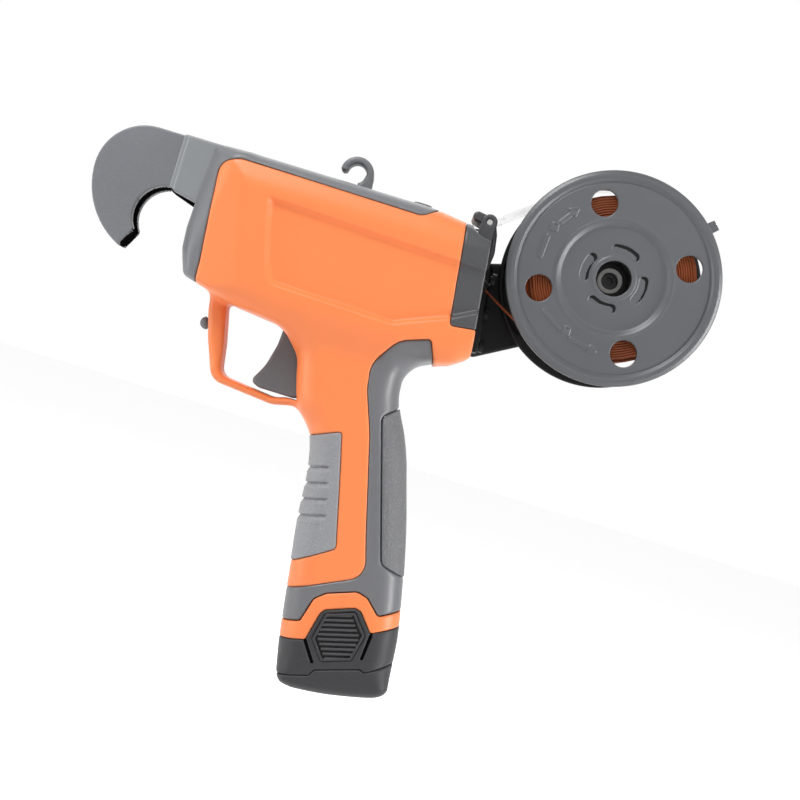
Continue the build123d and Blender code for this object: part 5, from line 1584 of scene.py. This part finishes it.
    def build(self) -> None:
        """Make the reel's pieces and its arm."""
        low_x, high_x = self.x - self.radius, self.x + self.radius
        low_z, high_z = self.z - self.radius, self.z + self.radius
        near = Skin((low_x, -22.7, low_z), (high_x, -19.4, high_z), 0.42)
        mould("front_flange_skin", self.front_flange, near, REEL, "reel", "reel_front_flange")
        far = Skin((low_x, 19.4, low_z), (high_x, 22.7, high_z), 0.5)
        mould("back_flange_skin", self.back_flange, far, BLACK, "reel", "reel_back_flange")
        arm = Skin((133, 10, -15), (201, 30, 46.2), 0.55)
        mould("reel_arm_skin", self.arm, arm, BLACK, "body", "reel_arm")
        self.winding()


def seen_rays(tree: bpy.types.NodeTree, unseen: float, seen: float) -> bpy.types.NodeSocket:
    """Value that differs for rays that show a surface.

    Args:
        tree: Node tree of a material or world.
        unseen: Value for light that falls on the tool.
        seen: Value for camera, glossy and transmission rays.

    Returns:
        Socket of that value.
    """
    rays = tree.nodes.new("ShaderNodeLightPath").outputs
    shown = rays["Is Camera Ray"]
    for kind in ("Is Glossy Ray", "Is Transmission Ray"):
        shown = add_sum(tree, "MAXIMUM", shown, rays[kind])
    return add_node(tree, "ShaderNodeMapRange", Value=shown, To_Min=unseen, To_Max=seen).outputs["Result"]


LAMP_AIM = Vector((0.11, 0, -0.03))
LAMPS = (
    ("key", (-0.38, -0.52, 0.80), 9.2, (0.5, 0.5)),
    ("fill", (0.30, -0.80, 0.40), 0.65, (0.4, 0.4)),
    ("edge", (-0.62, -0.16, -0.22), 2.2, (0.15, 0.6)),
    ("strip", (0.80, -0.20, -0.05), 4.5, (0.15, 0.6)),
    ("rim", (0.1, 0.8, 0.6), 3.0, (0.8, 0.8)),
)
WHITE = (1.0, 1.0, 1.0, 1.0)
AMBIENT = 0.17
FLOOR_SIZE = 8.0
FLOOR_GAP = 0.0005
FLOOR_COLOUR = (0.9, 0.9, 0.9, 1.0)
FLOOR_ROUGHNESS = 0.9
FLOOR_GLOW = 0.74
LENS_MM = 62.79
SENSOR_MM = 36.0
CAMERA_ROLL = math.radians(17.0)
CAMERA_AT = (0.11728, -0.600, -0.04238)


def floor_and_light(lowest: float) -> None:
    """Pale floor, soft lamps and a white surrounding.

    Args:
        lowest: Height of the tool's lowest point, in metres.
    """
    scene = bpy.context.scene
    scene.view_settings.view_transform = "Standard"
    bpy.ops.mesh.primitive_plane_add(size=FLOOR_SIZE, location=(0.1, 0, lowest - FLOOR_GAP))
    painted_shade = bpy.context.object
    painted_shade.name = "painted_shade"
    painted_shade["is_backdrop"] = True
    painted_shade.data.materials.append(pale_floor())
    world = bpy.data.worlds.new("surrounding")
    scene.world = world
    world.use_nodes = True
    tree = world.node_tree
    feed(tree, tree.nodes["Background"], Color=WHITE, Strength=seen_rays(tree, AMBIENT, 1.0))
    for name, place, power, (width, height) in LAMPS:
        lamp = bpy.data.objects.new(name, bpy.data.lights.new(name, "AREA"))
        lamp.data.energy = power
        lamp.data.shape = "RECTANGLE"
        lamp.data.size = width
        lamp.data.size_y = height
        lamp.location = place
        lamp.rotation_euler = (LAMP_AIM - Vector(place)).to_track_quat("-Z", "Y").to_euler()
        scene.collection.objects.link(lamp)


def pale_floor() -> bpy.types.Material:
    """White floor that keeps a soft shadow under the tool."""
    made = bpy.data.materials.new("pale_floor")
    made.use_nodes = True
    tree = made.node_tree
    feed(
        tree, tree.nodes["Principled BSDF"], Base_Color=FLOOR_COLOUR, Roughness=FLOOR_ROUGHNESS,
        Emission_Color=WHITE, Emission_Strength=seen_rays(tree, 0.0, FLOOR_GLOW),
    )
    return made


def camera() -> None:
    """Camera square to the tool's left side, rolled as in the photograph."""
    lens = bpy.data.cameras.new("camera")
    lens.lens = LENS_MM
    lens.sensor_width = SENSOR_MM
    lens.clip_start = 0.01
    cos, sin = math.cos(CAMERA_ROLL), math.sin(CAMERA_ROLL)
    at_x, at_y, at_z = CAMERA_AT
    view = Matrix((
        (cos, -sin, 0.0, at_x),
        (0.0, 0.0, -1.0, at_y),
        (sin, cos, 0.0, at_z),
        (0.0, 0.0, 0.0, 1.0),
    ))
    seen = bpy.data.objects.new("camera", lens)
    seen.matrix_world = view
    bpy.context.scene.collection.objects.link(seen)
    bpy.context.scene.camera = seen


def tie_wire_cord() -> None:
    """The stretch of tie wire from the reel to the inlet."""
    route = (
        (138.42, 0.0, 13.55), (149.0, -0.5, 7.45), (160.3, -1.2, 1.9), (171.5, -2.0, -1.75),
        (180.0, -2.6, -2.95), (186.5, -3.0, -3.05),
    )
    curve = bpy.data.curves.new("feed_wire", "CURVE")
    curve.dimensions = "3D"
    curve.bevel_depth = 0.5 * MM
    curve.bevel_resolution = 4
    line = curve.splines.new("NURBS")
    line.points.add(len(route) - 1)
    for spot, place in zip(line.points, route):
        spot.co = (*(value * MM for value in place), 1.0)
    line.order_u = 3
    line.use_endpoint_u = True
    line.resolution_u = 12
    wire = bpy.data.objects.new("feed_wire", curve)
    bpy.context.scene.collection.objects.link(wire)
    place_piece(wire, WIRE, "body", "tie_wire_feed")


def dress_frame(frame: dict) -> None:
    """Give every node that stays its finish, by the record's slot."""
    finishes = {finish.slot: finish for finish in SLOT_FINISHES}
    for part in frame["record"]["subparts"]:
        node = frame["nodes"][part["node"]]
        finish = NODE_FINISHES.get(part["node"], finishes[part["material_slot"]])
        node.data.materials.clear()
        node.data.materials.append(finish.material())


def battery_drop(frame: dict) -> float:
    """How far the battery comes down when it is slid out, in metres.

    Args:
        frame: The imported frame.

    Returns:
        The drop along Z.
    """
    joints = frame["record"]["behaviour"]["joints"]
    slide = next(joint for joint in joints if joint["name"] == "battery_slide")
    return -slide["range_m"][1] * slide["axis"][2]


def main(frame: dict) -> None:
    """Build the tool's looks over the frame.

    Args:
        frame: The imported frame.
    """
    logging.basicConfig(level=logging.INFO, format="%(message)s")
    packed = [list(corner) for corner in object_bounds()]
    dress_frame(frame)
    camera()
    tie_wire_cord()
    form = BodyShape()
    wire = wound_wire_tree()
    Housing(form).build()
    BatteryPack(form).build()
    Jaw(form).build()
    Fittings(wire).build()
    Reel(form, wire).build()
    shown = [list(corner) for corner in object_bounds()]
    floor_and_light(min(packed[0][2], shown[0][2]) - battery_drop(frame))


if __name__ == "__main__":
    main(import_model())
